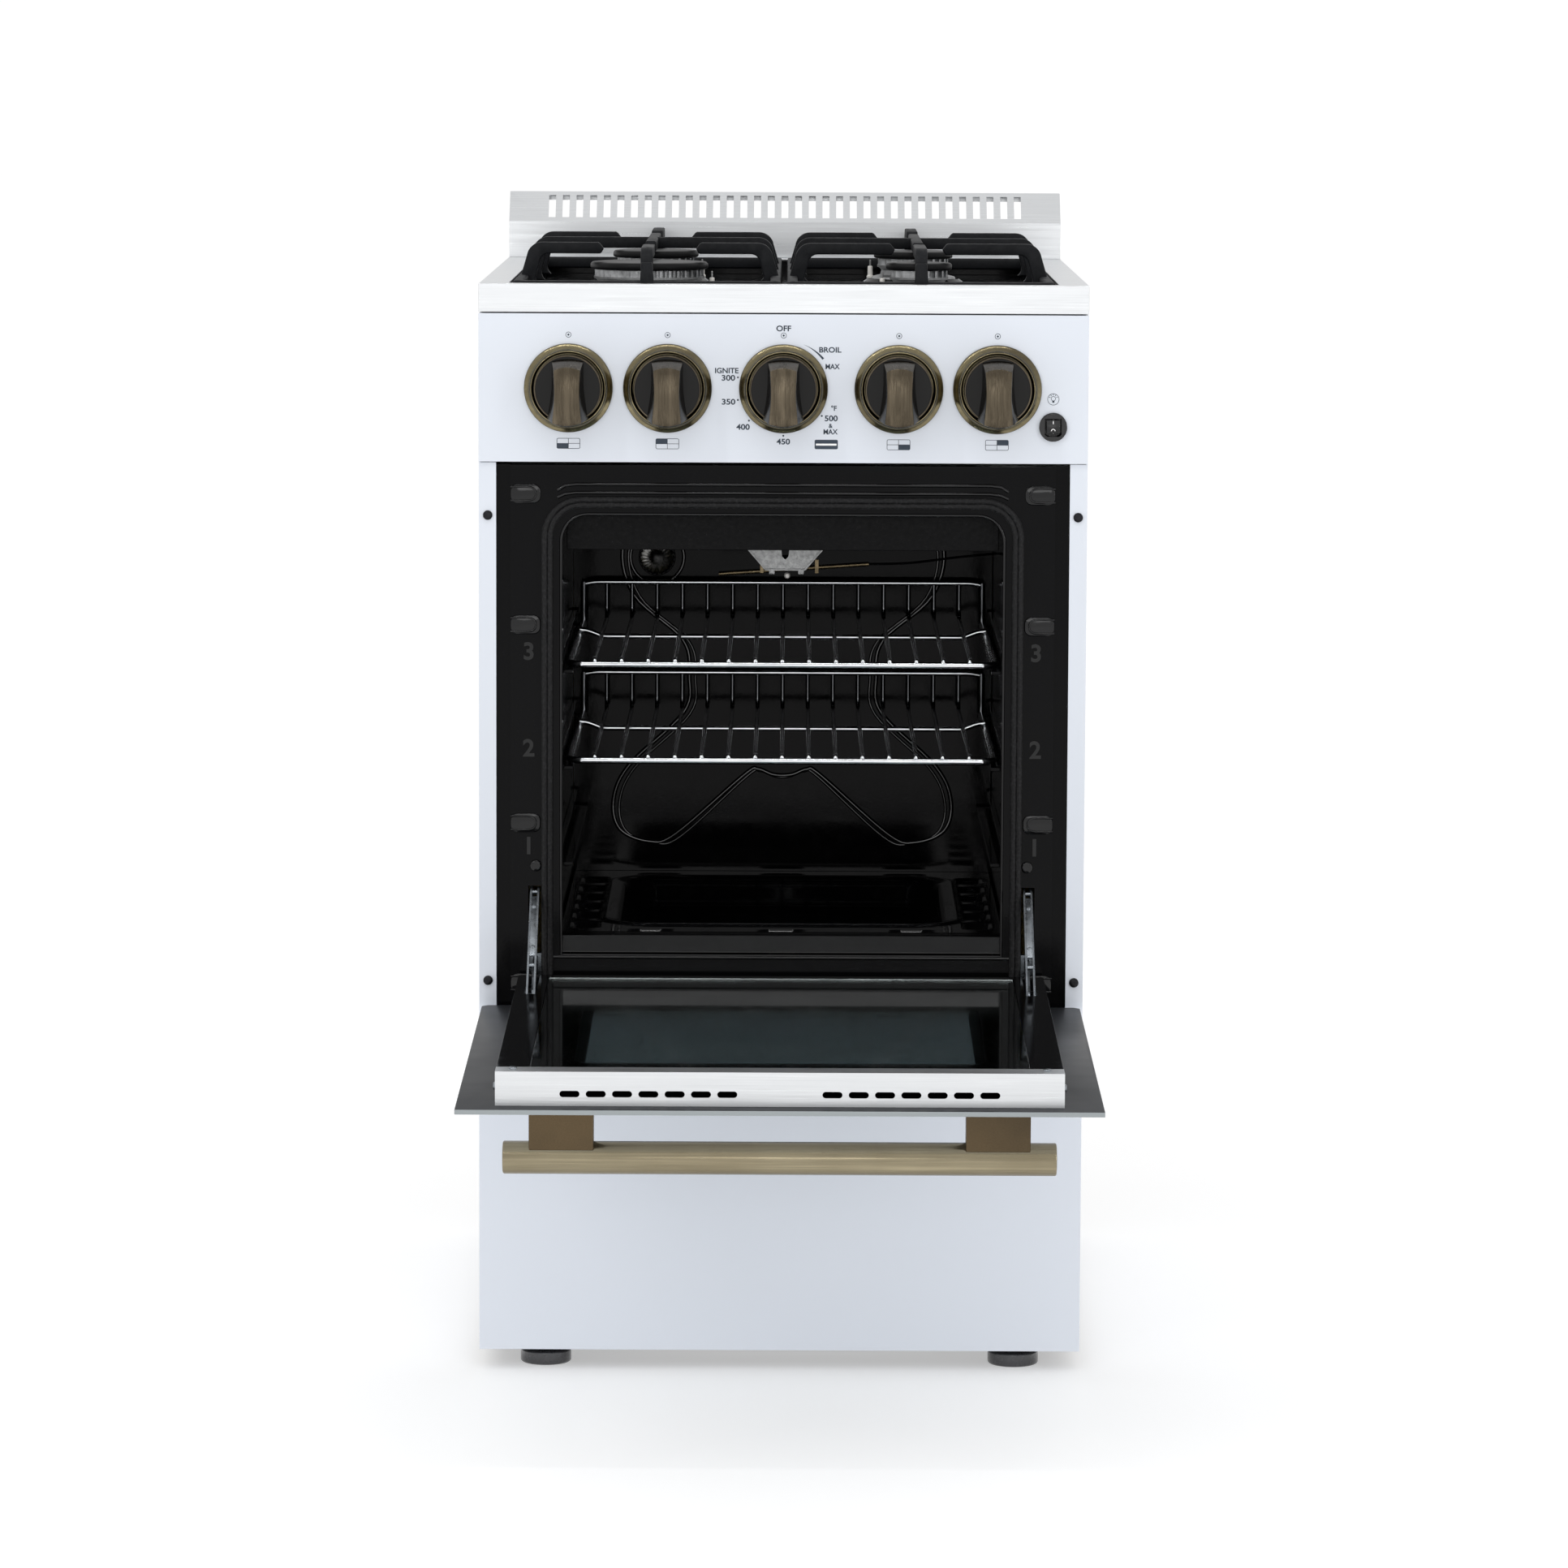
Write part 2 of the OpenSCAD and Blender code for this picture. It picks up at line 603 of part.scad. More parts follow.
module door_top_trim() color("#c9c9c6") on_door() {
    back = glass_y + glass_t + 0.2;
    t = sheet;
    count = 7;
    pitch = 20.25;
    first = 40.5;
    difference() {
        union() {
            block([-pan_half - 0.4, pan_half + 0.4], [back, pan_y], [pan_high - t, pan_high]);
            block([-pan_half - 0.4, pan_half + 0.4], [pan_y - t, pan_y], [pan_high - trim_drop, pan_high]);
            both_sides() block([pan_half - 0.8, pan_half + 0.4], [back, pan_y], [pan_high - trim_drop, pan_high]);
        }
        both_sides() for (i = [0 : count - 1])
            obround_z(first + pitch * i, -20.4, [pan_high - 5, pan_high + 5], 15.4, 5);
    }
}

module door_hinge_channels() color("#b8bcc2") on_door() both_sides() {
    for (x = [slot_x - 6.5, slot_x + 5])
        block([x, x + 1.5], [-29.6, pan_y - 1.5], [pan_low + 1.6, 480]);
    block([slot_x - 6.5, slot_x + 6.5], [-29.6, -28.2], [pan_low + 1.6, 480]);
    rod_x(hinge_y, hinge_z, [slot_x - 6.5, slot_x + 6.5], pin_r);
    rod_x(pivot_y, hinge_z + pivot_rise, [slot_x - 6.5, slot_x + 6.5], pin_r);
}

module handle_bar() color("#8d7f5c") on_door()
    rod_x(bar_y, bar_z, [-bar_half, bar_half], handle_d / 2);

module handle_posts() color("#8d7f5c") on_door() difference() {
    both_sides() block([post_x - 25, post_x + 25], [bar_y + 4, glass_y - 0.1], [bar_z - 10.5, bar_z + 10.5]);
    rod_x(bar_y, bar_z, [-bar_half, bar_half], handle_d / 2 + 0.02);
}

// The hinge links turn half as far as the door, so each one always runs
// through the same point in the mouth of its slot.
module hinge_links() color("#b8bcc2") on_link() both_sides() {
    pivot_z = hinge_z + pivot_rise;
    for (x = [slot_x - 3.8, slot_x + 2.2])
        translate([x, pivot_y, pivot_z]) rotate([-link_tilt, 0, 0]) difference() {
            union() {
                block([0, 1.6], [0, link_reach], [-4, 4]);
                rod_x(0, 0, [0, 1.6], 5.5);
                rod_x(link_reach, 0, [0, 1.6], 4);
            }
            rod_x(0, 0, [-1, 3], pin_r + pin_gap);
        }
    translate([0, pivot_y, pivot_z]) rotate([-link_tilt, 0, 0])
        for (y = [link_reach - 1, 40]) rod_x(y, 0, [slot_x - 3.8, slot_x + 3.8], 2);
}

module hinge_receivers() color("#c3c7cc") in_cabinet() both_sides() {
    back = 58;
    for (x = [slot_x - 7, slot_x + 5.5])
        block([x, x + 1.5], [frame_y + sheet + 0.1, back], [slot_low, slot_high + 9.5]);
    for (z = [slot_low, slot_high + 8])
        block([slot_x - 7, slot_x + 7], [frame_y + sheet + 0.1, back], [z, z + 1.5]);
    block([slot_x - 7, slot_x + 7], [24, 32], [slot_low, 352]);
    translate([slot_x - arm_half, 0, 0]) difference() {
        union() {
            rod_x(hinge_y, hinge_z, [0, 2 * arm_half], 7.5);
            rotate([90, 0, 90]) linear_extrude(2 * arm_half) polygon([[hinge_y + 3, hinge_z - 6.5],
                [16, 336], [28, 336], [28, 350], [8, 350], [hinge_y - 4, hinge_z + 6.2]]);
        }
        rod_x(hinge_y, hinge_z, [-1, 2 * arm_half + 1], pin_r + pin_gap);
    }
}

// ---------- racks ----------

module rack(z) in_cabinet() {
    top = frame_r + wire_r - 0.6;
    rack_grid(z, top);
    rack_fence(z, top);
}

module rack_grid(z, top) {
    rod_x(rack_front, z, [-rack_half + 6, rack_half - 6], frame_r);
    both_sides() {
        link_rod([rack_half - 6, rack_front, z], [rack_half, rack_front + 7, z], frame_r);
        rod_y(rack_half, z, [rack_front + 7, rack_back], frame_r);
        for (p = [[rack_half - 6, rack_front, z], [rack_half, rack_front + 7, z]])
            translate(p) sphere(frame_r + 0.05);
    }
    rod_x(305, z + 0.4, [-rack_half, rack_half], 2.4);
    rod_x(rack_back - 5, z, [-rack_half, rack_half], frame_r);
    for (x = wire_x) rod_y(x, z + top, [rack_front - 2.5, rack_back - 4.3], wire_r);
}

// Stop at the rear edge, welded on top of the grid
module rack_fence(z, top) {
    rise = 37;
    both_sides() {
        link_rod([rack_half, rack_back - 4.3, z + frame_r + 0.05], [rack_half, rack_back - 4.3, z + rise],
            frame_r);
        translate([rack_half, rack_back - 4.3, z + rise]) sphere(frame_r + 0.05);
    }
    rod_x(rack_back - 4.3, z + rise, [-rack_half, rack_half], frame_r);
    for (x = wire_x)
        link_rod([x, rack_back - 4.3, z + top + wire_r + 0.05], [x, rack_back - 4.3, z + rise], wire_r);
}
module upper_rack() { color("#c8ccd2") rack(lower_rack_z + rack_step); }
module lower_rack() { color("#c8ccd2") rack(lower_rack_z); }

// ---------- storage drawer ----------

module drawer_front() color("#d3dae6") in_cabinet() {
    t = sheet;
    back = 18;
    low = 18.8;
    difference() {
        block([-half_w, half_w], [0, back], [low, drawer_top]);
        block([-half_w + t, half_w - t], [t, back + 1], [low + t, drawer_top - t]);
    }
    for (z = [[low, low + 25], [drawer_top - 25, drawer_top]])
        block([-half_w, half_w], [back - t, back], z);
    both_sides() block([half_w - 40, half_w], [back - t, back], [low, drawer_top]);
}

module drawer_box() color("#b4b8be") in_cabinet() {
    t = sheet;
    back = 540;
    front = 18.1;
    low = 48;
    high = 235;
    difference() {
        block([-box_half, box_half], [front, back], [low, high]);
        block([-box_half + t, box_half - t], [front + t, back - t], [low + t, high + 1]);
    }
    both_sides() {
        block([box_half - 0.1, 247], [40, back], [runner_z[0] + 3, runner_z[0] + 4.2]);
        block([box_half - 0.1, 247], [40, back], [runner_z[1] - 4.2, runner_z[1] - 3]);
    }
}

// ---------- controls ----------

module stem(i) color("#b7b9bc") in_cabinet() rod_y(knob_x[i], knob_z, [-28, 38], stem_r);
module front_left_stem() { stem(0); }
module rear_left_stem() { stem(1); }
module oven_stem() { stem(2); }
module front_right_stem() { stem(3); }
module rear_right_stem() { stem(4); }

// Round base with a waisted grip bar. Its front face runs from the base's lower
// edge to short of the upper edge, where the grip slopes back.
module knob(i) color("#8d7f5c") in_cabinet() translate([knob_x[i], 0, knob_z]) difference() {
    waist_r = 142;
    union() {
        difference() {
            rod_y(0, 0, [-disc_top, -knob_back], knob_r);
            rod_y(0, 0, [-disc_top - 1, -disc_top + 1], knob_r - 1);
        }
        difference() {
            translate([-18, 0, 0]) rotate([90, 0, 90]) linear_extrude(36)
                polygon([[-disc_top + 1.5, -27.4], [-knob_reach + 2, -29.6], [-knob_reach, -28],
                    [-knob_reach, 16.4], [-knob_reach + 2, 19], [-disc_top + 1.5, 24.6]]);
            both_sides() translate([14.2 + waist_r, -disc_top, 0]) rotate([90, 0, 0])
                translate([0, 0, -2]) cylinder(h = knob_reach - disc_top + 4,
                    r1 = waist_r - 0.6, r2 = waist_r + 4.2, $fn = 96);
        }
    }
    rod_y(0, 0, [-31, 0], stem_r + pin_gap);
}
module front_left_knob() { knob(0); }
module rear_left_knob() { knob(1); }
module oven_knob() { knob(2); }
module front_right_knob() { knob(3); }
module rear_right_knob() { knob(4); }

module light_rocker() color("#0f1012") in_cabinet() {
    translate([0, rocker_y, switch_z]) rotate([-rocker_tilt, 0, 0])
        translate([switch_x - 6.6, 0, 0]) rotate([90, 0, 90]) linear_extrude(13.2)
            polygon([[3, -3], [-7.5, -6.6], [-7.9, -5.5], [-7.2, 0], [-7.9, 5.5], [-7.5, 6.6], [3, 3]]);
    rod_x(rocker_y, switch_z, [switch_x - 8.2, switch_x + 8.2], rocker_pin_r);
}

// ---------- grates ----------

// Outline of one arm in the x-z plane: it stands on the base bar at x = 0, goes up
// with a lean, turns over a round shoulder and ends in a slanted tip at x = reach.
function arm_outline(reach) =
    let(foot = grate_foot + 10, lean = 7, r_out = 12, r_in = 7)
    concat([[0, foot]], arc_points([lean + r_out, grate_top - r_out], r_out, 175, 90, 6),
        [[reach - 4, grate_top], [reach, grate_top - 4], [reach - 3, grate_top - 9.5]],
        arc_points([lean + 10.5 + r_in, grate_top - 9.5 - r_in], r_in, 90, 170, 5),
        [[11, foot]]);

module arm(x, side, y, reach)
    translate([x, y + bar / 2, 0]) mirror([side < 0 ? 1 : 0, 0, 0]) rotate([90, 0, 0])
        linear_extrude(bar) polygon(arm_outline(reach));

// Lengthwise leg seen from the side: a foot on the end bar and a finger over the burner
module long_leg(x, y, side, reach)
    translate([x - bar / 2, y, 0]) mirror([0, side < 0 ? 1 : 0, 0]) rotate([90, 0, 90])
        linear_extrude(bar) polygon(concat([[0, grate_foot + 10]],
            arc_points([14, grate_top - 10], 10, 175, 90, 5),
            [[reach - 3, grate_top], [reach, grate_top - 4], [reach - 3, grate_top - 9.5],
            [16, grate_top - 9.5], [11, grate_top - 15], [9, grate_foot + 10]]));

module grate(cx, front_gap, rear_gap) in_cabinet() translate([cx, 0, 0]) {
    w = grate_half;
    front = 22;
    back = 568;
    low = grate_foot + 5;
    high = grate_foot + 18.4;
    difference() {
        block([-w, w], [front, back], [low, high]);
        block([-w + bar, w - bar], [front + bar, back - bar], [low - 1, high + 1]);
    }
    for (x = [-w + 4.5, w - 4.5], y = [front + 4.5, back - 4.5]) rod_z(x, y, [grate_foot, low + 1], 4);
    for (s = [-1, 1]) {
        arm(-s * w, s, front_row, w - front_gap);
        arm(-s * w, s, middle_row, w + 1);
        arm(-s * w, s, rear_row, w - rear_gap);
    }
    long_leg(0, front, 1, front_row - front - front_gap);
    long_leg(0, back, -1, back - rear_row - rear_gap);
    block([-bar / 2, bar / 2], [front_row + front_gap, rear_row - rear_gap],
        [grate_top - 9.5, grate_top]);
}
module left_grate() { color("#232427") grate(-grate_x, 39, 31); }
module right_grate() { color("#232427") grate(grate_x, 20, 31); }

// ---------- nodes ----------

left_side_panel();
right_side_panel();
rear_cover();
base_frame();
levelling_feet();
control_panel();
knob_bezels();
cooktop_frame();
burner_tray();
backguard();
flue_duct();
oven_front_frame();
door_gasket();
oven_cavity();
oven_bottom_tray();
broiler_baffle();
insulation();
heat_shields();
oven_lamp();
broil_burner();
bake_burner();
thermostat_bulb();
gas_manifold();
gas_valves();
gas_tubes();
gas_inlet();
power_inlet();
spark_module();
igniter_electrodes();
burner_heads();
burner_caps();
hinge_receivers();
panel_screws();
light_switch_body();
drawer_runners();
door_outer_panel();
door_inner_frame();
door_inner_glass();
door_top_trim();
door_hinge_channels();
handle_bar();
handle_posts();
hinge_links();
upper_rack();
lower_rack();
drawer_front();
drawer_box();
front_left_stem();
rear_left_stem();
oven_stem();
front_right_stem();
rear_right_stem();
front_left_knob();
rear_left_knob();
oven_knob();
front_right_knob();
rear_right_knob();
light_rocker();
left_grate();
right_grate();
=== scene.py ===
"""Looks of the freestanding gas range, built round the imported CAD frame.

Pieces are drawn in millimetres. CAB places them in the cabinet, with y measured
from the control panel's face. DOOR and LINK place pieces drawn with the door
closed. Every piece rides on the CAD body that it belongs to."""

import json
import math

import bmesh
import bpy
from mathutils import Matrix, Vector


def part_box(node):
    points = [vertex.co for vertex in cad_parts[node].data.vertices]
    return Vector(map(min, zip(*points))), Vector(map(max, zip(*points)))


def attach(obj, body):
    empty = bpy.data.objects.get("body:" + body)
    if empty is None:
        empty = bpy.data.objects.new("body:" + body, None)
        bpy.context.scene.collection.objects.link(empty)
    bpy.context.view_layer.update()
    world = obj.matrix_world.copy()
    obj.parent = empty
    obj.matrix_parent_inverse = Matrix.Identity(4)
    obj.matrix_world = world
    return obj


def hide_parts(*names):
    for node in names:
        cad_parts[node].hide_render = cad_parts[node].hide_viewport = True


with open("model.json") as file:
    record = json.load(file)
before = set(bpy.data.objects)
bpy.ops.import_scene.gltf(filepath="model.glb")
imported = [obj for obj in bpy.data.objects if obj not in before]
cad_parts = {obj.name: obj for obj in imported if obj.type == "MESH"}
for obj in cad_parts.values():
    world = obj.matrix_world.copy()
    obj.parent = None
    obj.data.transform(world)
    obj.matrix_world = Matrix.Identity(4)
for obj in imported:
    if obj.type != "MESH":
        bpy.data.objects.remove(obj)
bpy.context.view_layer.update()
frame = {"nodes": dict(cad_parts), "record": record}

# ---------- places taken from the CAD frame ----------
JOINTS = {j["name"]: j for j in frame["record"]["behaviour"]["joints"]}
MM = 0.001
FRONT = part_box("control_panel")[0].y
CAB = Matrix.Translation((0, FRONT, 0)) @ Matrix.Diagonal((MM, MM, MM, 1))


def turned(pivot, degrees):
    """Turn about the x axis through a point given in metres."""
    shift = Matrix.Translation(pivot)
    return shift @ Matrix.Rotation(math.radians(degrees), 4, "X") @ shift.inverted()


def span(node, axis):
    """Lowest and highest value of a CAD node along one axis, in cabinet millimetres."""
    low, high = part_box(node)
    shift = FRONT if axis == "y" else 0
    return ((getattr(low, axis) - shift) / MM, (getattr(high, axis) - shift) / MM)


def middle(node, axis):
    low, high = span(node, axis)
    return (low + high) / 2


DOOR_TURN = -JOINTS["door_hinge"]["range_deg"][0]
DOOR = turned(JOINTS["door_hinge"]["pos_m"], DOOR_TURN) @ CAB
LINK = turned(JOINTS["door_link_pivot"]["pos_m"], -DOOR_TURN / 2) @ DOOR

# ---------- mesh helpers, all in millimetres ----------


def ring_faces(bm, rings, closed=False, capped=False):
    """Quads between neighbouring rings of vertices."""
    count = len(rings)
    for i in range(count if closed else count - 1):
        a, b = rings[i], rings[(i + 1) % count]
        n = len(a)
        for k in range(n):
            bm.faces.new((a[k], a[(k + 1) % n], b[(k + 1) % n], b[k]))
    if capped:
        bm.faces.new(list(reversed(rings[0])))
        bm.faces.new(rings[-1])


def add_prism(bm, outline, axis, low, high):
    """Outline extruded along an axis. x keeps (y, z), y keeps (x, z), z keeps (x, y)."""
    spread = {
        "x": lambda p, h: (h, p[0], p[1]),
        "y": lambda p, h: (p[0], h, p[1]),
        "z": lambda p, h: (p[0], p[1], h),
    }[axis]
    rings = [[bm.verts.new(spread(p, h)) for p in outline] for h in (low, high)]
    ring_faces(bm, rings, capped=True)


def add_box(bm, x, y, z):
    add_prism(bm, [(x[0], y[0]), (x[1], y[0]), (x[1], y[1]), (x[0], y[1])], "z", z[0], z[1])


def add_lathe(bm, profile, place, steps=64):
    """Profile of (radius, height) turned about the z axis of a placement matrix."""
    rings = []
    for r, h in profile:
        if r < 1e-6:
            rings.append([bm.verts.new(place @ Vector((0, 0, h)))])
            continue
        turn = [2 * math.pi * k / steps for k in range(steps)]
        rings.append([bm.verts.new(place @ Vector((r * math.cos(a), r * math.sin(a), h))) for a in turn])
    for a, b in zip(rings, rings[1:]):
        for k in range(steps):
            corners = [a[k % len(a)], a[(k + 1) % len(a)], b[(k + 1) % len(b)], b[k % len(b)]]
            corners = list(dict.fromkeys(corners))
            if len(corners) > 2:
                bm.faces.new(corners)


def upright(x, y):
    """Placement whose z axis points up from the floor at (x, y)."""
    return Matrix.Translation((x, y, 0))


def facing_front(x, y, z):
    """Placement whose z axis points out of the front of the range."""
    return Matrix.Translation((x, y, z)) @ Matrix.Rotation(math.pi / 2, 4, "X")


def add_sweep(bm, path, section, closed=False, up=(0, 0, 1)):
    """A section of (side, up) points carried along a path."""
    points = [Vector(p) for p in path]
    count = len(points)
    rings = []
    for i, p in enumerate(points):
        before = points[i - 1] if i or closed else p
        after = points[(i + 1) % count] if i < count - 1 or closed else p
        ahead = (after - before).normalized()
        side = ahead.cross(Vector(up))
        side = side.normalized() if side.length > 1e-6 else Vector((1, 0, 0))
        over = side.cross(ahead)
        rings.append([bm.verts.new(p + side * s + over * t) for s, t in section])
    ring_faces(bm, rings, closed=closed, capped=not closed)


def add_tube(bm, path, r, closed=False, sides=10, up=(0, 0, 1)):
    add_sweep(bm, path, circle(0, 0, r, sides), closed, up)


def arc(cx, cy, r, start, end, steps):
    turn = [math.radians(start + (end - start) * k / steps) for k in range(steps + 1)]
    return [(cx + r * math.cos(a), cy + r * math.sin(a)) for a in turn]


def circle(cx, cy, r, steps):
    return arc(cx, cy, r, 0, 360, steps)[:-1]


def round_rect(x, z, r, steps=6):
    """Anticlockwise outline of a rounded rectangle."""
    return (
        arc(x[1] - r, z[1] - r, r, 0, 90, steps)
        + arc(x[0] + r, z[1] - r, r, 90, 180, steps)
        + arc(x[0] + r, z[0] + r, r, 180, 270, steps)
        + arc(x[1] - r, z[0] + r, r, 270, 360, steps)
    )


def bevelled(bm, width, segments, angle):
    """Rounds every edge sharper than an angle in degrees."""
    bmesh.ops.remove_doubles(bm, verts=bm.verts, dist=0.001)
    bmesh.ops.recalc_face_normals(bm, faces=bm.faces)
    limit = math.radians(angle)
    sharp = [e for e in bm.edges if len(e.link_faces) == 2 and e.calc_face_angle(0) > limit]
    bmesh.ops.bevel(
        bm, geom=sharp, offset=width, segments=segments, profile=0.5, affect="EDGES", clamp_overlap=True
    )


def piece(name, bm, material, body, place=CAB, slot=None, stands_for=(), angle=32):
    """Turns millimetre geometry into a named object that rides on a CAD body.

    A material may be given by its name in MATS. The slot argument is not used."""
    if isinstance(material, str):
        slot = slot or material
        material = MATS[material]
    bmesh.ops.recalc_face_normals(bm, faces=bm.faces)
    bm.transform(place)
    mesh = bpy.data.meshes.new(name)
    bm.to_mesh(mesh)
    bm.free()
    mesh.shade_smooth()
    mesh.set_sharp_from_angle(angle=math.radians(angle))
    mesh.materials.append(material)
    obj = bpy.data.objects.new(name, mesh)
    bpy.context.scene.collection.objects.link(obj)
    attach(obj, body)
    if stands_for:
        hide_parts(*stands_for)
    return obj


# ---------- materials ----------
MATS = {}


class Surface:
    """A Principled material with helpers for its procedural detail. It enters MATS under its name."""

    def __init__(self, name, colour, rough, metal=0.0, coat=0.0, ior=1.5):
        self.mat = MATS[name] = bpy.data.materials.new(name)
        self.mat.use_nodes = True
        self.mat.diffuse_color = (*colour, 1)
        self.tree = self.mat.node_tree
        self.bsdf = self.tree.nodes["Principled BSDF"]
        self.colour = colour
        self.normal = None
        self.set("Base Color", (*colour, 1))
        self.set("Roughness", rough)
        self.set("Metallic", metal)
        self.set("Coat Weight", coat)
        self.set("Coat Roughness", 0.06)
        self.set("IOR", ior)

    def set(self, socket, value):
        self.bsdf.inputs[socket].default_value = value

    def node(self, kind, **values):
        made = self.tree.nodes.new(kind)
        for key, value in values.items():
            if key in made.bl_rna.properties:
                setattr(made, key, value)
            else:
                made.inputs[key.replace("_", " ")].default_value = value
        return made

    def join(self, out, into):
        self.tree.links.new(out, into)

    def noise(self, scale, detail=3.0, stretch=(1, 1, 1), rough=0.55):
        """Noise over the object's own coordinates, features per metre, stretched per axis."""
        where = self.node("ShaderNodeTexCoord")
        mapped = self.node("ShaderNodeMapping", Scale=stretch)
        made = self.node("ShaderNodeTexNoise", Scale=scale, Detail=detail, Roughness=rough)
        self.join(where.outputs["Object"], mapped.inputs["Vector"])
        self.join(mapped.outputs["Vector"], made.inputs["Vector"])
        return made.outputs["Fac"]

    def cells(self, scale, output="Distance"):
        """Voronoi cells over the object's own coordinates, cells per metre."""
        where = self.node("ShaderNodeTexCoord")
        made = self.node("ShaderNodeTexVoronoi", Scale=scale)
        self.join(where.outputs["Object"], made.inputs["Vector"])
        return made.outputs[output]

    def ranged(self, value, low, high, start=0.3, end=0.7):
        made = self.node("ShaderNodeMapRange")
        for socket, number in zip(("From Min", "From Max", "To Min", "To Max"), (start, end, low, high)):
            made.inputs[socket].default_value = number
        self.join(value, made.inputs["Value"])
        return made.outputs["Result"]

    def vary_colour(self, value, other, start=0.35, end=0.65):
        """Mixes towards another colour where the value is high. Layers add up."""
        made = self.node("ShaderNodeMix", data_type="RGBA")
        into = self.bsdf.inputs["Base Color"]
        if into.is_linked:
            self.join(into.links[0].from_socket, made.inputs[6])
        else:
            made.inputs[6].default_value = (*self.colour, 1)
        made.inputs[7].default_value = (*other, 1)
        self.join(self.ranged(value, 0, 1, start, end), made.inputs[0])
        self.join(made.outputs[2], into)

    def vary_rough(self, value, low, high):
        self.join(self.ranged(value, low, high), self.bsdf.inputs["Roughness"])

    def bump(self, value, depth_mm, strength):
        """Adds relief. Layers stack through the normal."""
        made = self.node("ShaderNodeBump", Strength=strength, Distance=depth_mm * MM)
        self.join(value, made.inputs["Height"])
        if self.normal:
            self.join(self.normal, made.inputs["Normal"])
        self.normal = made.outputs["Normal"]
        self.join(self.normal, self.bsdf.inputs["Normal"])


def scaled(colour, factor):
    return tuple(min(1.0, c * factor) for c in colour)


def enamel(name, colour, rough, peel_mm=0.012, coat=0.5, ior=1.5):
    """Fired enamel or gloss paint with faint clouding and orange peel."""
    s = Surface(name, colour, rough, coat=coat, ior=ior)
    s.vary_colour(s.noise(1.6, 2), scaled(colour, 0.985), 0.35, 0.75)
    s.vary_rough(s.noise(18, 2), rough * 0.95, rough * 1.1)
    s.bump(s.noise(420, 2), peel_mm, 0.5)
    return s.mat


def brushed(name, colour, rough, along, depth_mm=0.01, contrast=0.82, fine=900, patina_and_shade=None, painted_light=False):
    """Brushed metal with grain along one axis and soft clouds.

    Its optional extra layers are painted light: bright streaks along the grain stand in for highlights, and a
    darkening of round parts towards their edges, where they turn from the view, stands in for shade."""
    s = Surface(name, colour, rough, metal=1.0)
    stretch = tuple(0.012 if axis == along else 1.0 for axis in "xyz")
    grain = s.noise(fine, 4, stretch, 0.7)
    wide = s.noise(fine / 7, 3, stretch, 0.6)
    s.vary_colour(grain, scaled(colour, contrast), 0.35, 0.72)
    # Painted highlights: with the option on, the brighter streaks along the grain stand in for the metal's
    # highlights.
    if painted_light:
        s.vary_colour(wide, scaled(colour, 1.5), 0.5, 0.8)
    else:
        s.vary_colour(wide, scaled(colour, (1 + contrast) / 2), 0.35, 0.7)
    s.vary_colour(s.noise(9, 3), patina_and_shade or scaled(colour, 0.93), 0.42, 0.85)
    # Painted shade: with the option on, the facing weight darkens round parts towards their edges, using a
    # darker copy of the cloud colour.
    if painted_light:
        facing = s.node("ShaderNodeLayerWeight", Blend=0.45)
        s.vary_colour(facing.outputs["Facing"], scaled(patina_and_shade, 0.5), 0.25, 0.95)
    s.vary_rough(grain, rough * 0.75, rough * 1.35)
    s.bump(grain, depth_mm, 0.6)
    return s.mat


def plain_metal(name, colour, rough, spots=0.88, scale=45, depth_mm=0.02):
    """Plated or cast metal with clouds, pits and uneven gloss."""
    s = Surface(name, colour, rough, metal=1.0)
    cloud = s.noise(scale, 5)
    s.vary_colour(cloud, scaled(colour, spots), 0.35, 0.7)
    s.vary_rough(s.noise(scale * 3, 4), rough * 0.7, rough * 1.4)
    s.bump(s.noise(scale * 14, 3), depth_mm, 0.5)
    return s.mat


def plastic(name, colour, rough, coat=0.2):
    s = Surface(name, colour, rough, coat=coat)
    s.vary_colour(s.noise(30, 3), scaled(colour, 1.25))
    s.vary_rough(s.noise(120, 4), rough * 0.8, rough * 1.3)
    s.bump(s.noise(1500, 2), 0.012, 0.5)
    return s.mat


def iron():
    """Matt enamelled cast iron: sand-cast grain and rubbed, slightly lighter patches."""
    base = (0.005, 0.0058, 0.0075)
    s = Surface("cast_iron", base, 0.5, ior=1.3)
    s.vary_colour(s.noise(35, 5), scaled(base, 1.7), 0.45, 0.8)
    s.vary_colour(s.cells(900), scaled(base, 0.7), 0.3, 0.9)
    s.vary_rough(s.noise(180, 4), 0.42, 0.68)
    s.bump(s.noise(700, 4), 0.14, 0.55)
    s.bump(s.noise(90, 2), 0.2, 0.35)
    return s.mat


def galvanised(name, colour):
    s = Surface(name, colour, 0.42, metal=1.0)
    spangle = s.cells(55, "Color")
    s.vary_colour(spangle, scaled(colour, 0.8), 0.2, 0.9)
    s.vary_rough(s.noise(200, 3), 0.34, 0.52)
    s.bump(s.noise(500, 2), 0.02, 0.4)
    return s.mat


def porcelain_black(name, rough, ior):
    """Black porcelain enamel with tiny white specks, as fired inside ovens."""
    base = (0.0022, 0.0022, 0.0026)
    s = Surface(name, base, rough, ior=ior)
    s.vary_colour(s.cells(650), (0.03, 0.03, 0.034), 0.10, 0.04)
    s.vary_rough(s.noise(70, 5), rough * 0.7, rough * 1.5)
    s.bump(s.noise(330, 3), 0.03, 0.5)
    return s.mat


def baffle_coat():
    """Black coat with a leathery grain, as rolled on the broiler baffle."""
    s = Surface("baffle_coat", (0.0016, 0.0016, 0.002), 0.3, ior=1.2)
    s.vary_rough(s.noise(300, 4), 0.24, 0.5)
    s.bump(s.noise(190, 4, (1, 1, 1.5)), 0.5, 0.8)
    return s.mat


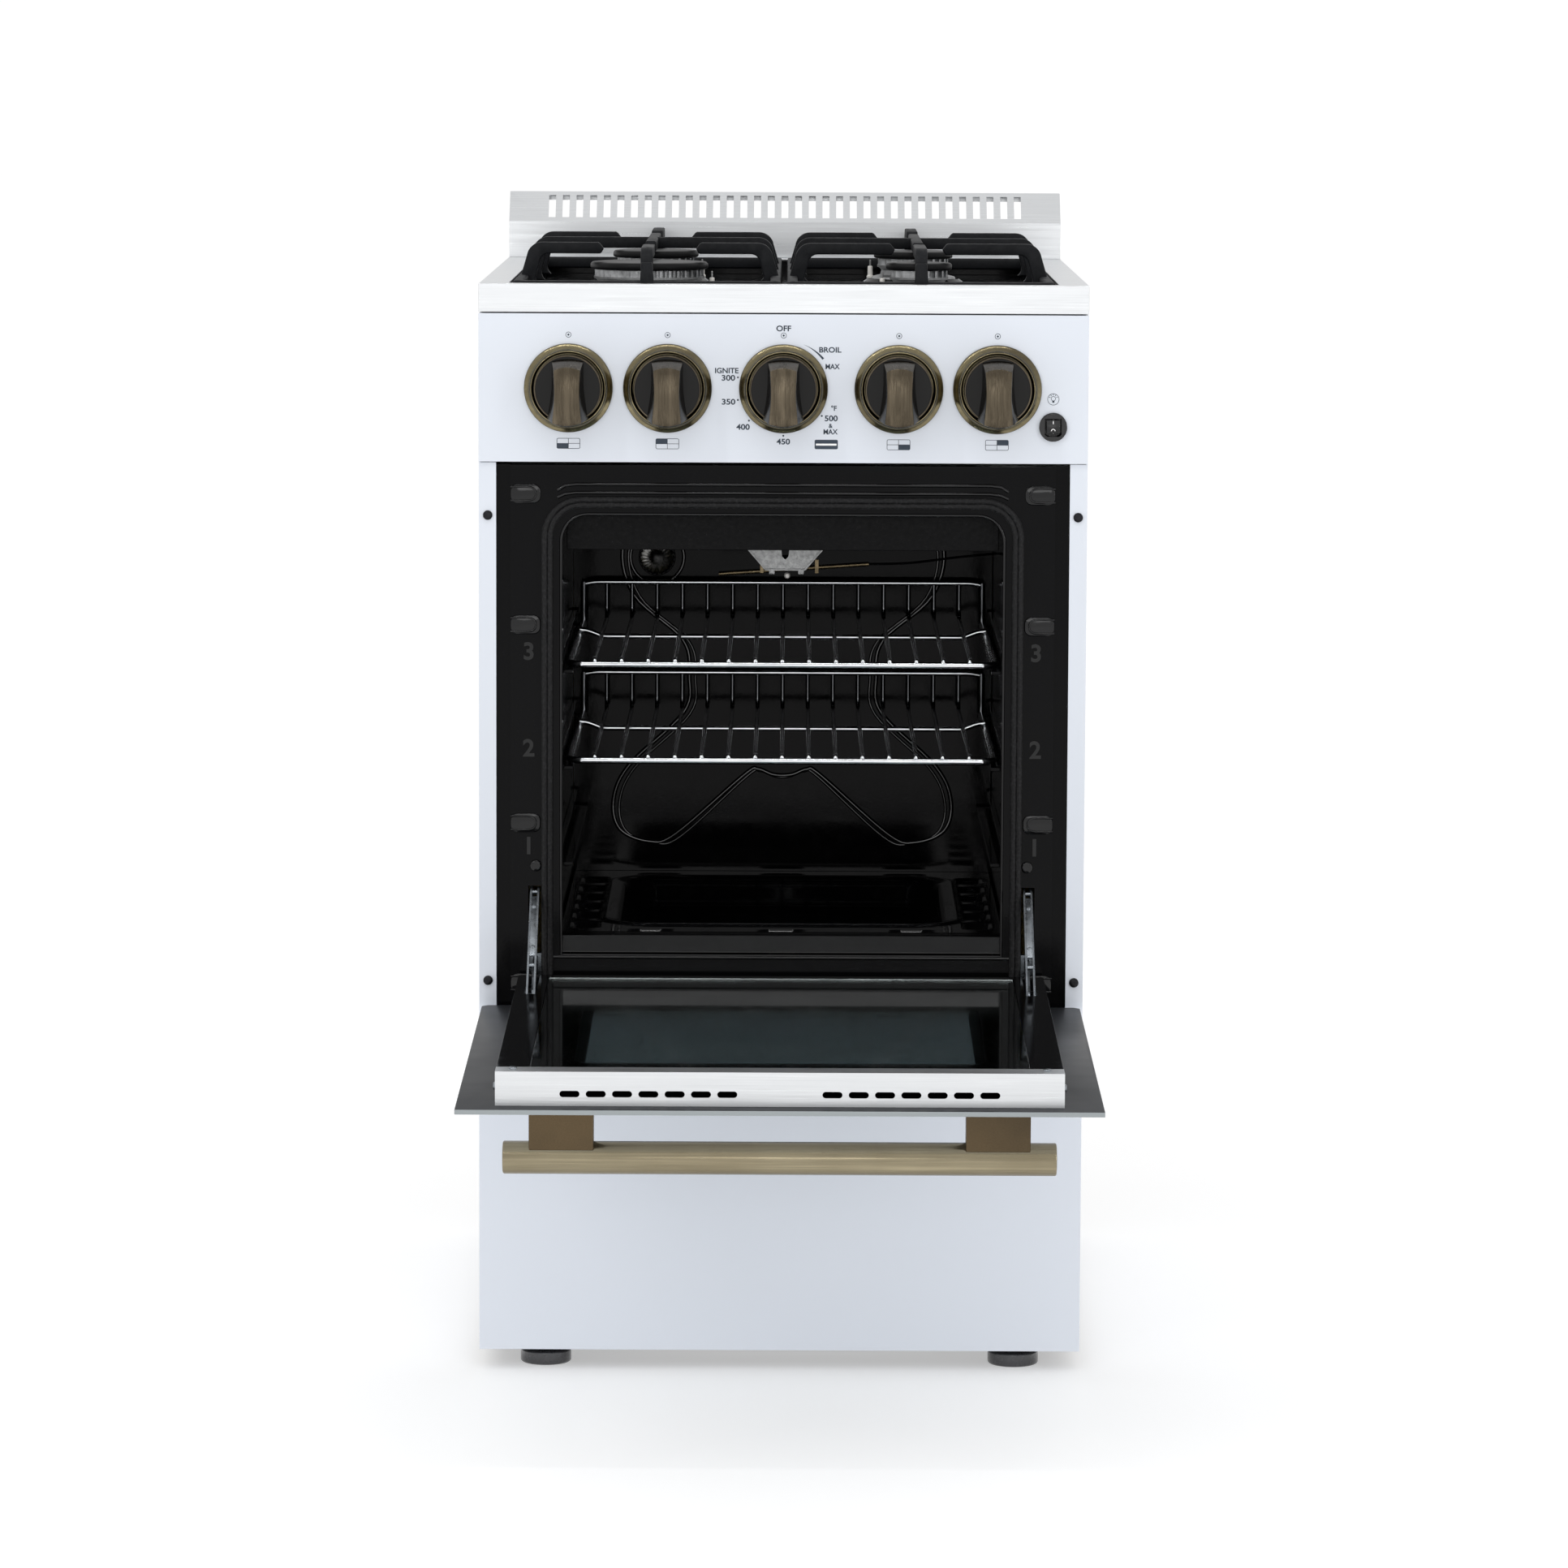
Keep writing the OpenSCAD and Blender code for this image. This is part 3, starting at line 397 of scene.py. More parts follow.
def rope():
    """Woven fibre sleeve of the door gasket."""
    base = (0.004, 0.004, 0.0045)
    s = Surface("gasket_rope", base, 0.5, ior=1.3)
    s.set("Sheen Weight", 0.03)
    weave = s.cells(520)
    s.vary_colour(weave, (0.014, 0.014, 0.015), 0.45, 0.9)
    s.bump(weave, 0.35, 0.7)
    s.bump(s.noise(1600, 2), 0.1, 0.5)
    return s.mat


def glass(name, colour, rough=0.02):
    s = Surface(name, colour, rough, ior=1.52)
    s.set("Transmission Weight", 1.0)
    s.vary_rough(s.noise(25, 4), rough, rough * 3)
    s.bump(s.noise(12, 2), 0.01, 0.3)
    return s.mat


def wool():
    s = Surface("mineral_wool", (0.62, 0.5, 0.22), 0.9)
    s.set("Sheen Weight", 0.5)
    s.vary_colour(s.noise(90, 5), (0.45, 0.34, 0.12))
    s.bump(s.noise(260, 5), 1.2, 0.9)
    return s.mat


WHITE = (0.735, 0.775, 0.845)
STEEL = (0.80, 0.815, 0.83)
BRONZE = (0.115, 0.094, 0.066)
BRONZE_DARK = (0.05, 0.04, 0.028)
BRONZE_GREEN = (0.235, 0.20, 0.118)

enamel("white_enamel", WHITE, 0.24)
brushed("stainless", STEEL, 0.34, "x", patina_and_shade=(0.72, 0.735, 0.75))
porcelain_black("black_enamel", 0.08, 1.2)
porcelain_black("relief_enamel", 0.06, 1.42)
porcelain_black("bead_enamel", 0.08, 1.85)
# The knobs' bronze carries painted highlight streaks and painted shade towards the edges of round parts.
brushed("antique_bronze", BRONZE, 0.28, "z", 0.01, 0.55, 900, BRONZE_DARK, True)
iron()
plain_metal("chrome_wire", (0.76, 0.775, 0.8), 0.13, 0.8, 60, 0.008)
plain_metal("burner_aluminium", (0.42, 0.425, 0.43), 0.42, 0.6, 70, 0.05)
plain_metal("aluminised_sheet", (0.42, 0.425, 0.425), 0.42, 0.6, 260, 0.12)
plain_metal("zinc_plate", (0.34, 0.37, 0.40), 0.3, 0.6, 80, 0.02)
galvanised("galvanised", (0.5, 0.515, 0.53))
enamel("chassis_steel", (0.035, 0.037, 0.041), 0.45, 0.03, 0.1)
enamel("door_glass", WHITE, 0.09, 0.004, 0.8)
glass("inner_glass", (0.62, 0.68, 0.68))
# The lamp glass is tinted dark as painted shade.
glass("lamp_glass", (0.32, 0.31, 0.29), 0.16)
rope()
plastic("black_plastic", (0.003, 0.003, 0.0035), 0.25, 0.08)
plastic("foot_plastic", (0.03, 0.03, 0.033), 0.26, 0.6)
plain_metal("screw_black", (0.03, 0.03, 0.033), 0.35, 0.7, 200, 0.03)
plain_metal("valve_brass", (0.62, 0.47, 0.2), 0.35, 0.75, 90, 0.03)
plain_metal("pipe_steel", (0.28, 0.29, 0.31), 0.45, 0.7, 50, 0.03)
plain_metal("tube_aluminium", (0.66, 0.665, 0.67), 0.33, 0.85, 60, 0.02)
plain_metal("bulb_copper", (0.22, 0.17, 0.10), 0.3, 0.6, 120, 0.02)
plastic("white_ceramic", (0.78, 0.76, 0.72), 0.35, 0.1)
plastic("module_plastic", (0.7, 0.69, 0.65), 0.5, 0.0)
wool()
brushed("stem_steel", (0.5, 0.5, 0.5), 0.35, "y")

SLOT_OF = {row["node"]: row["material_slot"] for row in frame["record"]["subparts"]}


def dress(node, material=None):
    """Gives a carried-over CAD node its procedural finish."""
    obj = frame["nodes"][node]
    obj.data.materials.clear()
    obj.data.materials.append(material or MATS[SLOT_OF[node]])


def soften(node, width_mm):
    """Rounds the sharp edges of a CAD node with modifiers, leaving its mesh as packed."""
    obj = frame["nodes"][node]
    weld = obj.modifiers.new("weld", "WELD")
    weld.merge_threshold = 0.00001
    flat = obj.modifiers.new("flat", "DECIMATE")
    flat.decimate_type = "DISSOLVE"
    flat.angle_limit = math.radians(0.5)
    edge = obj.modifiers.new("edge", "BEVEL")
    edge.width = width_mm * MM
    edge.segments = 2
    edge.limit_method = "ANGLE"
    edge.angle_limit = math.radians(38)
    edge.use_clamp_overlap = True
    edge.harden_normals = True


for cad_node in frame["nodes"]:
    dress(cad_node)

# ---------- cuts, screws and lettering ----------


def carved(bm, cutter):
    """Geometry with the cutter's volume taken away."""
    temps = []
    for name, part in (("kept", bm), ("cutter", cutter)):
        bmesh.ops.recalc_face_normals(part, faces=part.faces)
        mesh = bpy.data.meshes.new(name)
        part.to_mesh(mesh)
        part.free()
        obj = bpy.data.objects.new(name, mesh)
        bpy.context.scene.collection.objects.link(obj)
        temps.append(obj)
    cut = temps[0].modifiers.new("cut", "BOOLEAN")
    cut.object = temps[1]
    cut.operation = "DIFFERENCE"
    cut.solver = "EXACT"
    result = temps[0].evaluated_get(bpy.context.evaluated_depsgraph_get()).to_mesh()
    made = bmesh.new()
    made.from_mesh(result)
    for obj in temps:
        mesh = obj.data
        bpy.data.objects.remove(obj)
        bpy.data.meshes.remove(mesh)
    return made


def curved_path(points, steps):
    """Smooth open path through a few points, as a Catmull-Rom spline."""
    p = [Vector(q) for q in points]
    out = []
    for a, b, c, d in zip([p[0]] + p, p, p[1:], p[2:] + [p[-1]]):
        for k in range(steps):
            t = k / steps
            square, cube = 2 * a - 5 * b + 4 * c - d, 3 * b - a - 3 * c + d
            out.append(0.5 * (2 * b + (c - a) * t + square * t**2 + cube * t**3))
    out.append(p[-1])
    return out


def on_plane(points, y):
    return [(x, y, z) for x, z in points]


def mirrored(points):
    """The points, then their mirror images in reverse, across x = 0."""
    return list(points) + [(-q[0], *q[1:]) for q in reversed(points)]


def add_cross_screw(place, r, height):
    """Pan head screw with a cross recess. Its z axis points out of the head."""
    bm = bmesh.new()
    profile = [(0, height)] + arc(r - height * 0.8, height * 0.2, height * 0.8, 90, 0, 5) + [(r, 0), (0, 0)]
    add_lathe(bm, profile, Matrix.Identity(4), 32)
    cutter = bmesh.new()
    arm, width = r * 0.62, r * 0.15
    for a, b in ((arm, width), (width, arm)):
        add_box(cutter, (-a, a), (-b, b), (height * 0.4, height + 1))
    bm = carved(bm, cutter)
    bm.transform(place)
    return bm


def merged(target, extra):
    """Adds one bmesh to another."""
    mesh = bpy.data.meshes.new("merge")
    extra.to_mesh(mesh)
    extra.free()
    target.from_mesh(mesh)
    bpy.data.meshes.remove(mesh)


def merge_bevelled(bm, part, width, segments=3):
    """Rounds a part's edges and adds it to another bmesh."""
    bevelled(part, width, segments, 40)
    merged(bm, part)


def add_text(bm, words, x, z, cap, y, width=None):
    """Flat printed characters facing the front, centred on (x, z), with a given capital height."""
    data = bpy.data.curves.new("text", "FONT")
    data.body = words
    data.align_x = "CENTER"
    data.align_y = "CENTER"
    data.size = cap / 0.70
    data.offset = 0.026 * data.size
    data.extrude = 0.02
    obj = bpy.data.objects.new("text", data)
    bpy.context.scene.collection.objects.link(obj)
    mesh = bpy.data.meshes.new_from_object(obj.evaluated_get(bpy.context.evaluated_depsgraph_get()))
    xs = [v.co.x for v in mesh.vertices]
    squeeze = width / (max(xs) - min(xs)) if width else 1.0
    shift = (max(xs) + min(xs)) / 2
    mesh.transform(
        Matrix.Translation((x, y, z))
        @ Matrix.Rotation(math.pi / 2, 4, "X")
        @ Matrix.Diagonal((squeeze, 1, 1, 1))
        @ Matrix.Translation((-shift, 0, 0))
    )
    bm.from_mesh(mesh)
    bpy.data.objects.remove(obj)
    bpy.data.curves.remove(data)
    bpy.data.meshes.remove(mesh)


# ---------- casing ----------
PRINT_Y = -0.1
INK_DEPTH = 0.04
KNOBS = ("front_left", "rear_left", "oven", "front_right", "rear_right")
KNOB_Z = JOINTS["oven_knob_turn"]["pos_m"][2] / MM
KNOB_X = {k: JOINTS[k + "_knob_turn"]["pos_m"][0] / MM for k in KNOBS}

ink = plastic("panel_ink", (0.022, 0.035, 0.055), 0.5, 0.0)
white_ink = plastic("white_ink", (0.8, 0.8, 0.8), 0.5, 0.0)


def flat_shape(bm, outline, y=PRINT_Y):
    """Filled printed shape."""
    add_prism(bm, outline, "y", y, y + INK_DEPTH)


def flat_bar(bm, x, z):
    """Filled printed rectangle between two values of x and two of z."""
    flat_shape(bm, [(x[0], z[0]), (x[1], z[0]), (x[1], z[1]), (x[0], z[1])])


def flat_band(bm, outer, inner, y=PRINT_Y):
    """Printed line between two closed outlines."""
    ring_faces(bm, [[bm.verts.new((px, y, pz)) for px, pz in ring] for ring in (outer, inner)])


def flat_ring(bm, x, z, r, stroke):
    steps = 40
    flat_band(bm, circle(x, z, r, steps), circle(x, z, r - stroke, steps))


def flat_frame(bm, x, z, half_w, half_h, r, stroke):
    outer, inner = (
        round_rect((x - half_w + cut, x + half_w - cut), (z - half_h + cut, z + half_h - cut), r - cut)
        for cut in (0, stroke)
    )
    flat_band(bm, outer, inner)


def add_burner_icon(bm, x, z, column, row):
    """Plan of the four burners with one of them filled."""
    half_w, half_h, stroke = 9.7, 4.4, 0.42
    flat_frame(bm, x, z, half_w, half_h, 1.3, stroke)
    line = 0.2
    flat_bar(bm, (x - half_w, x + half_w), (z - line, z + line))
    flat_bar(bm, (x - line, x + line), (z - half_h, z + half_h))
    xs = (x, x + half_w - line) if column > 0 else (x - half_w + line, x)
    zs = (z, z + half_h - line) if row > 0 else (z - half_h + line, z)
    flat_shape(bm, round_rect(xs, zs, 0.5, 2), PRINT_Y + 0.01)


# Printed words: text, x, z, capital height, and the width or None for the font's own
LABELS = (
    ("OFF", 0, 877.6, 4.5, 12.3),
    ("BROIL", 38.6, 860.1, 4.3, 18.4),
    ("MAX", 40.6, 846.3, 4.1, 11.8),
    ("°F", 41.8, 811.8, 4.0, None),
    ("500", 39.6, 803.4, 4.5, 10.8),
    ("&", 39.2, 797.3, 3.4, None),
    ("MAX", 39.2, 792.3, 4.1, 11.8),
    ("450", 0, 784.0, 4.5, 11.2),
    ("400", -33.4, 796.0, 4.5, 11.2),
    ("350", -45.4, 816.8, 4.5, 11.2),
    ("300", -45.6, 836.6, 4.5, 11.2),
    ("IGNITE", -47.0, 842.6, 4.3, 19.5),
)
QUADRANTS = {"front_left": (-1, -1), "rear_left": (-1, 1), "front_right": (1, -1), "rear_right": (1, 1)}
ICON_Z = KNOB_Z - 46
OVEN_ICON_X = 35.6


def print_dial(bm):
    """Dots round the oven knob, and the wedge that grows towards broil."""
    dot_ring = 38.9
    for x, z in ((-38.3, 9.4), (-37.6, -9.4), (-28.2, -26.2), (0, -39), (31.6, -22.2)):
        scale = dot_ring / math.hypot(x, z)
        flat_shape(bm, circle(x * scale, KNOB_Z + z * scale, 0.8, 12))
    steps, growth = 12, 0.045
    inner = arc(0, KNOB_Z, 40.2, 66, 37, steps)
    outer = []
    for k, (x, z) in enumerate(inner):
        swell = 1 + growth * k / steps
        outer.append((x * swell, KNOB_Z + (z - KNOB_Z) * swell))
    for k in range(steps):
        flat_shape(bm, [inner[k], inner[k + 1], outer[k + 1], outer[k]])


def print_lamp_icon(bm):
    """A bulb with rays in a ring, over the light switch."""
    x, z = middle("light_rocker", "x"), middle("light_rocker", "z") + 22.5
    flat_ring(bm, x, z, 4.9, 0.4)
    flat_ring(bm, x, z + 0.6, 2.0, 0.4)
    flat_shape(bm, round_rect((x - 0.9, x + 0.9), (z - 2.8, z - 1.2), 0.3, 2))
    for turn in (20, 55, 90, 125, 160):
        ray = arc(x, z + 0.6, 2.6, turn - 5, turn + 5, 1)
        flat_shape(bm, ray + arc(x, z + 0.6, 3.8, turn + 4, turn - 4, 1))


def make_panel_print():
    bm = bmesh.new()
    mark_z = KNOB_Z + 44
    for key in KNOBS:
        flat_ring(bm, KNOB_X[key], mark_z, 2.4, 0.42)
        flat_shape(bm, circle(KNOB_X[key], mark_z, 0.85, 16))
    for key, (column, row) in QUADRANTS.items():
        add_burner_icon(bm, KNOB_X[key], ICON_Z, column, row)
    for words, x, z, cap, width in LABELS:
        add_text(bm, words, x, z, cap, PRINT_Y, width)
    print_dial(bm)
    print_lamp_icon(bm)
    x = OVEN_ICON_X
    flat_shape(bm, round_rect((x - 9.6, x + 9.6), (ICON_Z - 3.9, ICON_Z + 3.9), 1.1))
    piece("panel_print", bm, ink, "cabinet", angle=20)
    bm = bmesh.new()
    bar = round_rect((x - 8.6, x + 8.6), (ICON_Z - 0.9, ICON_Z + 0.7), 0.3, 2)
    flat_shape(bm, bar, PRINT_Y - 0.02)
    piece("panel_print_bar", bm, white_ink, "cabinet", angle=20)


def make_feet():
    bm = bmesh.new()
    foot_r = 21.5
    y0, y1 = span("levelling_feet", "y")
    x = span("levelling_feet", "x")[1] - foot_r
    ys = (y0 + foot_r, y1 - foot_r)
    profile = (
        [(0, 0), (19.2, 0)]
        + arc(19.2, 2.3, 2.3, 270, 360, 4)
        + arc(19.3, 9.6, 2.2, 0, 70, 4)
        + [(18.4, 12.6), (14.5, 12.9), (12.2, 13.6), (12, 17.6), (5, 17.8), (5, 40), (0, 40)]
    )
    for side in (-x, x):
        for y in ys:
            add_lathe(bm, profile, upright(side, y), 56)
    piece("feet", bm, "foot_plastic", "cabinet", stands_for=["levelling_feet"], angle=50)


def make_flange_screws():
    bm = bmesh.new()
    head_r = 4.0
    z0, z1 = span("panel_screws", "z")
    x = span("panel_screws", "x")[1] - head_r
    zs = (z0 + head_r, z1 - head_r)
    for side in (-x, x):
        for k, z in enumerate(zs):
            turn = Matrix.Rotation(0.3 + 0.9 * k + side / 100, 4, "Z")
            merged(bm, add_cross_screw(facing_front(side, 2.9, z) @ turn, head_r, 2.6))
    piece("flange_screws", bm, "screw_black", "cabinet", stands_for=["panel_screws"])


make_panel_print()
make_feet()
make_flange_screws()

# ---------- knobs and switch ----------
# The bezels' bronze carries painted highlight streaks and painted shade towards the edges of their rounded
# faces.
bezel_metal = brushed("bezel_bronze", BRONZE_GREEN, 0.2, "x", 0.004, 0.75, 500, BRONZE_DARK, True)
half_moon = enamel("knob_black", (0.006, 0.0055, 0.005), 0.25, 0.01, 0.0, 1.3)


def make_bezels():
    bm = bmesh.new()
    reach = (span("knob_bezels", "z")[1] - span("knob_bezels", "z")[0]) / 2
    profile = (
        [(14, 0.8), (14, 1.2), (28.6, 1.3), (29.7, 3.0), (29.9, 11.4)]
        + arc(30.6, 11.5, 0.75, 180, 30, 6)
        + arc(reach + 3.0, 11.6, 8.6, 186, 246, 14)
        + [(reach - 0.3, 3.4), (reach, 2.7), (reach, 0.0)]
    )
    for key in KNOBS:
        add_lathe(bm, profile, facing_front(KNOB_X[key], 0, KNOB_Z), 96)
    piece("bezels", bm, bezel_metal, "cabinet", slot="antique_bronze", stands_for=["knob_bezels"], angle=40)


SIDE_STEPS = 10
END_STEPS = 8


def grip_ring(half_w, waist, low, high, bulge_low, bulge_high):
    """Outline of the grip at one depth: waisted sides and bowed ends, anticlockwise in x and z."""
    right = []
    for k in range(SIDE_STEPS + 1):
        t = k / SIDE_STEPS
        pinch = waist * math.sin(math.pi * t) ** 1.3
        right.append((half_w[0] + (half_w[1] - half_w[0]) * t - pinch, low + (high - low) * t))
    top = []
    for k in range(1, END_STEPS):
        t = 1 - 2 * k / END_STEPS
        top.append((half_w[1] * t, high + bulge_high * (1 - t * t)))
    left = [(-x, z) for x, z in reversed(right)]
    bottom = []
    for k in range(1, END_STEPS):
        t = 2 * k / END_STEPS - 1
        bottom.append((half_w[0] * t, low - bulge_low * (1 - t * t)))
    return right + top + left + bottom


def bowed(z, reach):
    """The grip's face stands out most a little above its middle and falls away to both ends."""
    return -reach + 2.2 * ((z + 6) / 22) ** 2


def front_strips(bm, ring):
    """Faces across the grip's front, from the right edge to the left one."""
    top_end = SIDE_STEPS + END_STEPS
    left_end = top_end + SIDE_STEPS + 1
    right, top = ring[: SIDE_STEPS + 1], ring[SIDE_STEPS + 1 : top_end]
    left, bottom = list(reversed(ring[top_end:left_end])), ring[left_end:]
    for k in range(SIDE_STEPS):
        bm.faces.new((right[k], right[k + 1], left[k + 1], left[k]))
    bm.faces.new([right[-1], *top, left[-1]])
    bm.faces.new([left[0], *bottom, right[0]])


def make_knob(key):
    """Round base with a bronze rim and black half-moons, and a waisted brushed grip."""
    reach = -span(key + "_knob", "y")[0]
    x, disc_h, back_h, r = KNOB_X[key], 20.0, 5.0, 28.0
    bm = bmesh.new()
    place = facing_front(0, 0, 0)
    rim = [(0, back_h), (r - 1, back_h), (r, back_h + 1)]
    rim += [(r, disc_h - 0.5), (r - 0.5, disc_h), (r - 1.1, disc_h)]
    add_lathe(bm, rim + [(r - 1.3, disc_h - 0.7)], place, 96)
    bronze_faces = len(bm.faces)
    add_lathe(bm, [(r - 1.3, disc_h - 0.7), (0, disc_h - 0.7)], place, 96)
    bm.faces.ensure_lookup_table()
    for f in bm.faces[bronze_faces:]:
        f.material_index = 1
    grip = bmesh.new()
    front = grip_ring((12.0, 11.0), 1.2, -27.0, 16.4, 2.4, 2.6)
    base = grip_ring((16.8, 13.0), 1.4, -24.5, 23.0, 2.6, 1.9)
    rings = [[grip.verts.new((px, -disc_h + 1, pz)) for px, pz in base]]
    rings.append([grip.verts.new((px, bowed(pz, reach), pz)) for px, pz in front])
    ring_faces(grip, rings)
    grip.faces.new(rings[0])
    crest = [grip.edges.get((rings[1][k - 1], rings[1][k])) for k in range(len(front))]
    front_strips(grip, rings[1])
    bmesh.ops.recalc_face_normals(grip, faces=grip.faces)
    # Painted shade: the grip's side faces, picked by the way they face, take the black half-moon finish, so
    # the bronze grip is dark on its sides.
    for f in grip.faces:
        if abs(f.normal.x) > 0.75:
            f.material_index = 1
    bmesh.ops.bevel(
        grip, geom=crest, offset=0.8, segments=2, profile=0.55, affect="EDGES", clamp_overlap=True
    )
    merged(bm, grip)
    bm.transform(Matrix.Translation((x, 0, KNOB_Z)))
    obj = piece(
        key + "_handwheel", bm, "antique_bronze", key + "_dial",
        stands_for=[key + "_knob"], angle=30,
    )
    obj.data.materials.append(half_moon)


REST_TILT = -JOINTS["light_switch_tilt"]["range_deg"][1] / 2


def make_switch():
    """Ring, tilting paddle and its two marks. The paddle rests tilted by half of its travel."""
    x, z = middle("light_rocker", "x"), middle("light_rocker", "z")
    bm = bmesh.new()
    add_lathe(
        bm,
        [(8.9, -12), (8.9, 1.6), (9.6, 2.9), (10.4, 3.0), (11.2, 2.4), (11.5, 1.2), (11.5, 0)],
        facing_front(x, 0, z), 64,
    )
    piece("switch_ring", bm, "black_plastic", "cabinet", angle=60)
    pivot = Vector(JOINTS["light_switch_tilt"]["pos_m"])
    pivot_y, pivot_z = (pivot.y - FRONT) / MM, pivot.z / MM
    tilt = Matrix.Translation((0, pivot_y, pivot_z)) @ Matrix.Rotation(math.radians(REST_TILT), 4, "X")
    bm = bmesh.new()
    half = 5.6
    face = [(-7.2 - 0.75 * (k / 6) ** 2, 5.3 * k / 6) for k in range(-6, 7)]
    add_prism(bm, [(3.0, -3.0), (-7.0, -half)] + face + [(-7.0, half), (3.0, 3.0)], "x", -half, half)
    bevelled(bm, 0.5, 2, 30)
    bm.transform(Matrix.Translation((x, 0, 0)) @ tilt)
    piece("rocker_paddle", bm, "black_plastic", "rocker", stands_for=["light_rocker"])
    bm = bmesh.new()
    add_box(bm, (-0.35, 0.35), (-7.75, -7.3), (2.2, 5.4))
    steps = 24
    outer, inner = (circle(0, -3.6, r, steps) for r in (1.9, 1.25))
    flat_band(bm, outer, inner, -7.55)
    bm.transform(Matrix.Translation((x, 0, 0)) @ tilt)
    piece("rocker_marks", bm, white_ink, "rocker")


make_bezels()
for knob_key in KNOBS:
    make_knob(knob_key)
make_switch()

# ---------- cooktop ----------
BURNER_X = 114.5
BURNER_ROWS = {"front": 155.0, "rear": 430.0}
CAP_R = {("left", "front"): 50.0, ("left", "rear"): 38.0, ("right", "front"): 28.0, ("right", "rear"): 35.0}
TIP_GAP = {("left", "front"): 39.0, ("left", "rear"): 31.0, ("right", "front"): 20.0, ("right", "rear"): 31.0}
HEAD_INSET = 3.7
FLOOR_Z = 900.2
port_steel = plain_metal("port_ring", (0.62, 0.63, 0.64), 0.42, 0.6, 160, 0.06)
cap_enamel = enamel("cap_enamel", (0.005, 0.005, 0.0055), 0.4, 0.05, 0.0, 1.25)


def burner_places():
    for (side, row), cap_r in CAP_R.items():
        yield side, row, (-BURNER_X if side == "left" else BURNER_X), BURNER_ROWS[row], cap_r


def make_burner_heads():
    """Ribbed port rings on flared bases. The slots between the ribs are the flame ports."""
    rings, bases = bmesh.new(), bmesh.new()
    for _, _, x, y, cap_r in burner_places():
        r = cap_r - HEAD_INSET
        ports = int(r * 0.8)
        outline = []
        for k in range(ports):
            for turn, depth in ((0.0, 0.0), (0.30, 0.0), (0.36, 2.2), (0.94, 2.2)):
                a = 2 * math.pi * (k + turn + 0.32 * (depth > 0)) / ports
                outline.append(((r - depth) * math.cos(a) + x, (r - depth) * math.sin(a) + y))
        add_prism(rings, outline, "z", 914.6, 920.4)
        base = [
            (0, FLOOR_Z + 2.6), (r + 6.5, FLOOR_Z + 2.6), (r + 5.6, FLOOR_Z + 4.2), (r - 2, FLOOR_Z + 6),
            (r - 3, FLOOR_Z + 10), (r - 1.2, 912.2), (r + 0.6, 913.0), (r + 0.6, 914.8), (0, 914.8),
        ]
        add_lathe(bases, base, upright(x, y), 72)
    piece("port_rings", rings, port_steel, "cabinet", slot="burner_aluminium", stands_for=["burner_heads"])
    piece("burner_bases", bases, "burner_aluminium", "cabinet", angle=40)


def make_burner_caps():
    bm = bmesh.new()
    for _, _, x, y, r in burner_places():
        low = span("burner_caps", "z")[0]
        profile = [(0, low), (r - 1.6, low)] + arc(r - 1.5, low + 1.6, 1.5, 280, 360, 3)
        profile += arc(r - 3.0, low + 3.2, 3.0, 0, 70, 5)
        profile += [(r - 9, low + 6.5), (r * 0.4, low + 6.75), (0, low + 6.8)]
        add_lathe(bm, profile, upright(x, y), 80)
    piece("caps", bm, cap_enamel, "cabinet", slot="black_enamel", stands_for=["burner_caps"], angle=50)


def make_igniters():
    ceramic, tips = bmesh.new(), bmesh.new()
    for side, _, x, y, r in burner_places():
        px = x + (r + 3.2) * (1 if side == "left" else -1)
        body = [(0, FLOOR_Z + 2.7), (3.1, FLOOR_Z + 2.7), (3.1, FLOOR_Z + 4.5), (2.3, FLOOR_Z + 5.2)]
        body += arc(1.2, 912.6, 1.0, 0, 90, 4) + [(0, 913.6)]
        tip = [(0, 913), (0.8, 913), (0.8, 918.4), (0.4, 919), (0, 919)]
        place = upright(px, y)
        add_lathe(ceramic, body, place, 24)
        add_lathe(tips, tip, place, 12)
    piece("igniter_ceramics", ceramic, "white_ceramic", "cabinet", stands_for=["igniter_electrodes"])
    piece("igniter_tips", tips, "stem_steel", "cabinet")


ARM_DROP = 9.5


def arm_outline(reach, top, foot):
    """Side view of a grate arm: flared foot at 0, round shoulder, tip cut at a slant at reach."""
    lean, r_out, r_in = 7.0, 13.0, 8.0
    under = top - ARM_DROP
    outline = [(-0.6, foot), (0.4, foot + 4)] + arc(lean + r_out, top - r_out, r_out, 172, 90, 8)
    outline += [(reach - 5, top), (reach - 3.4, top - 0.9), (reach, top - 5.2), (reach - 2.6, under)]
    outline += arc(lean + 11 + r_in, under - r_in, r_in, 90, 166, 6)
    outline += arc(23, foot + 7, 8.5, 155, 235, 4)
    return outline


def place_outline(bm, outline, axis, origin, sign, half):
    """Arm outline laid along x or y from an origin, with a thickness across it."""
    if axis == "x":
        points = [(origin[0] + sign * s, t) for s, t in outline]
        add_prism(bm, points, "y", origin[1] - half, origin[1] + half)
    else:
        points = [(origin[1] + sign * s, t) for s, t in outline]
        add_prism(bm, points, "x", origin[0] - half, origin[0] + half)


def add_arm(bm, outline, axis, origin, sign, half):
    """Rounded grate arm that runs along x or y."""
    part = bmesh.new()
    place_outline(part, outline, axis, origin, sign, half)
    merge_bevelled(bm, part, 1.5)


def add_grate_box(bm, x, y, z, edge):
    part = bmesh.new()
    add_box(part, x, y, z)
    merge_bevelled(bm, part, edge)


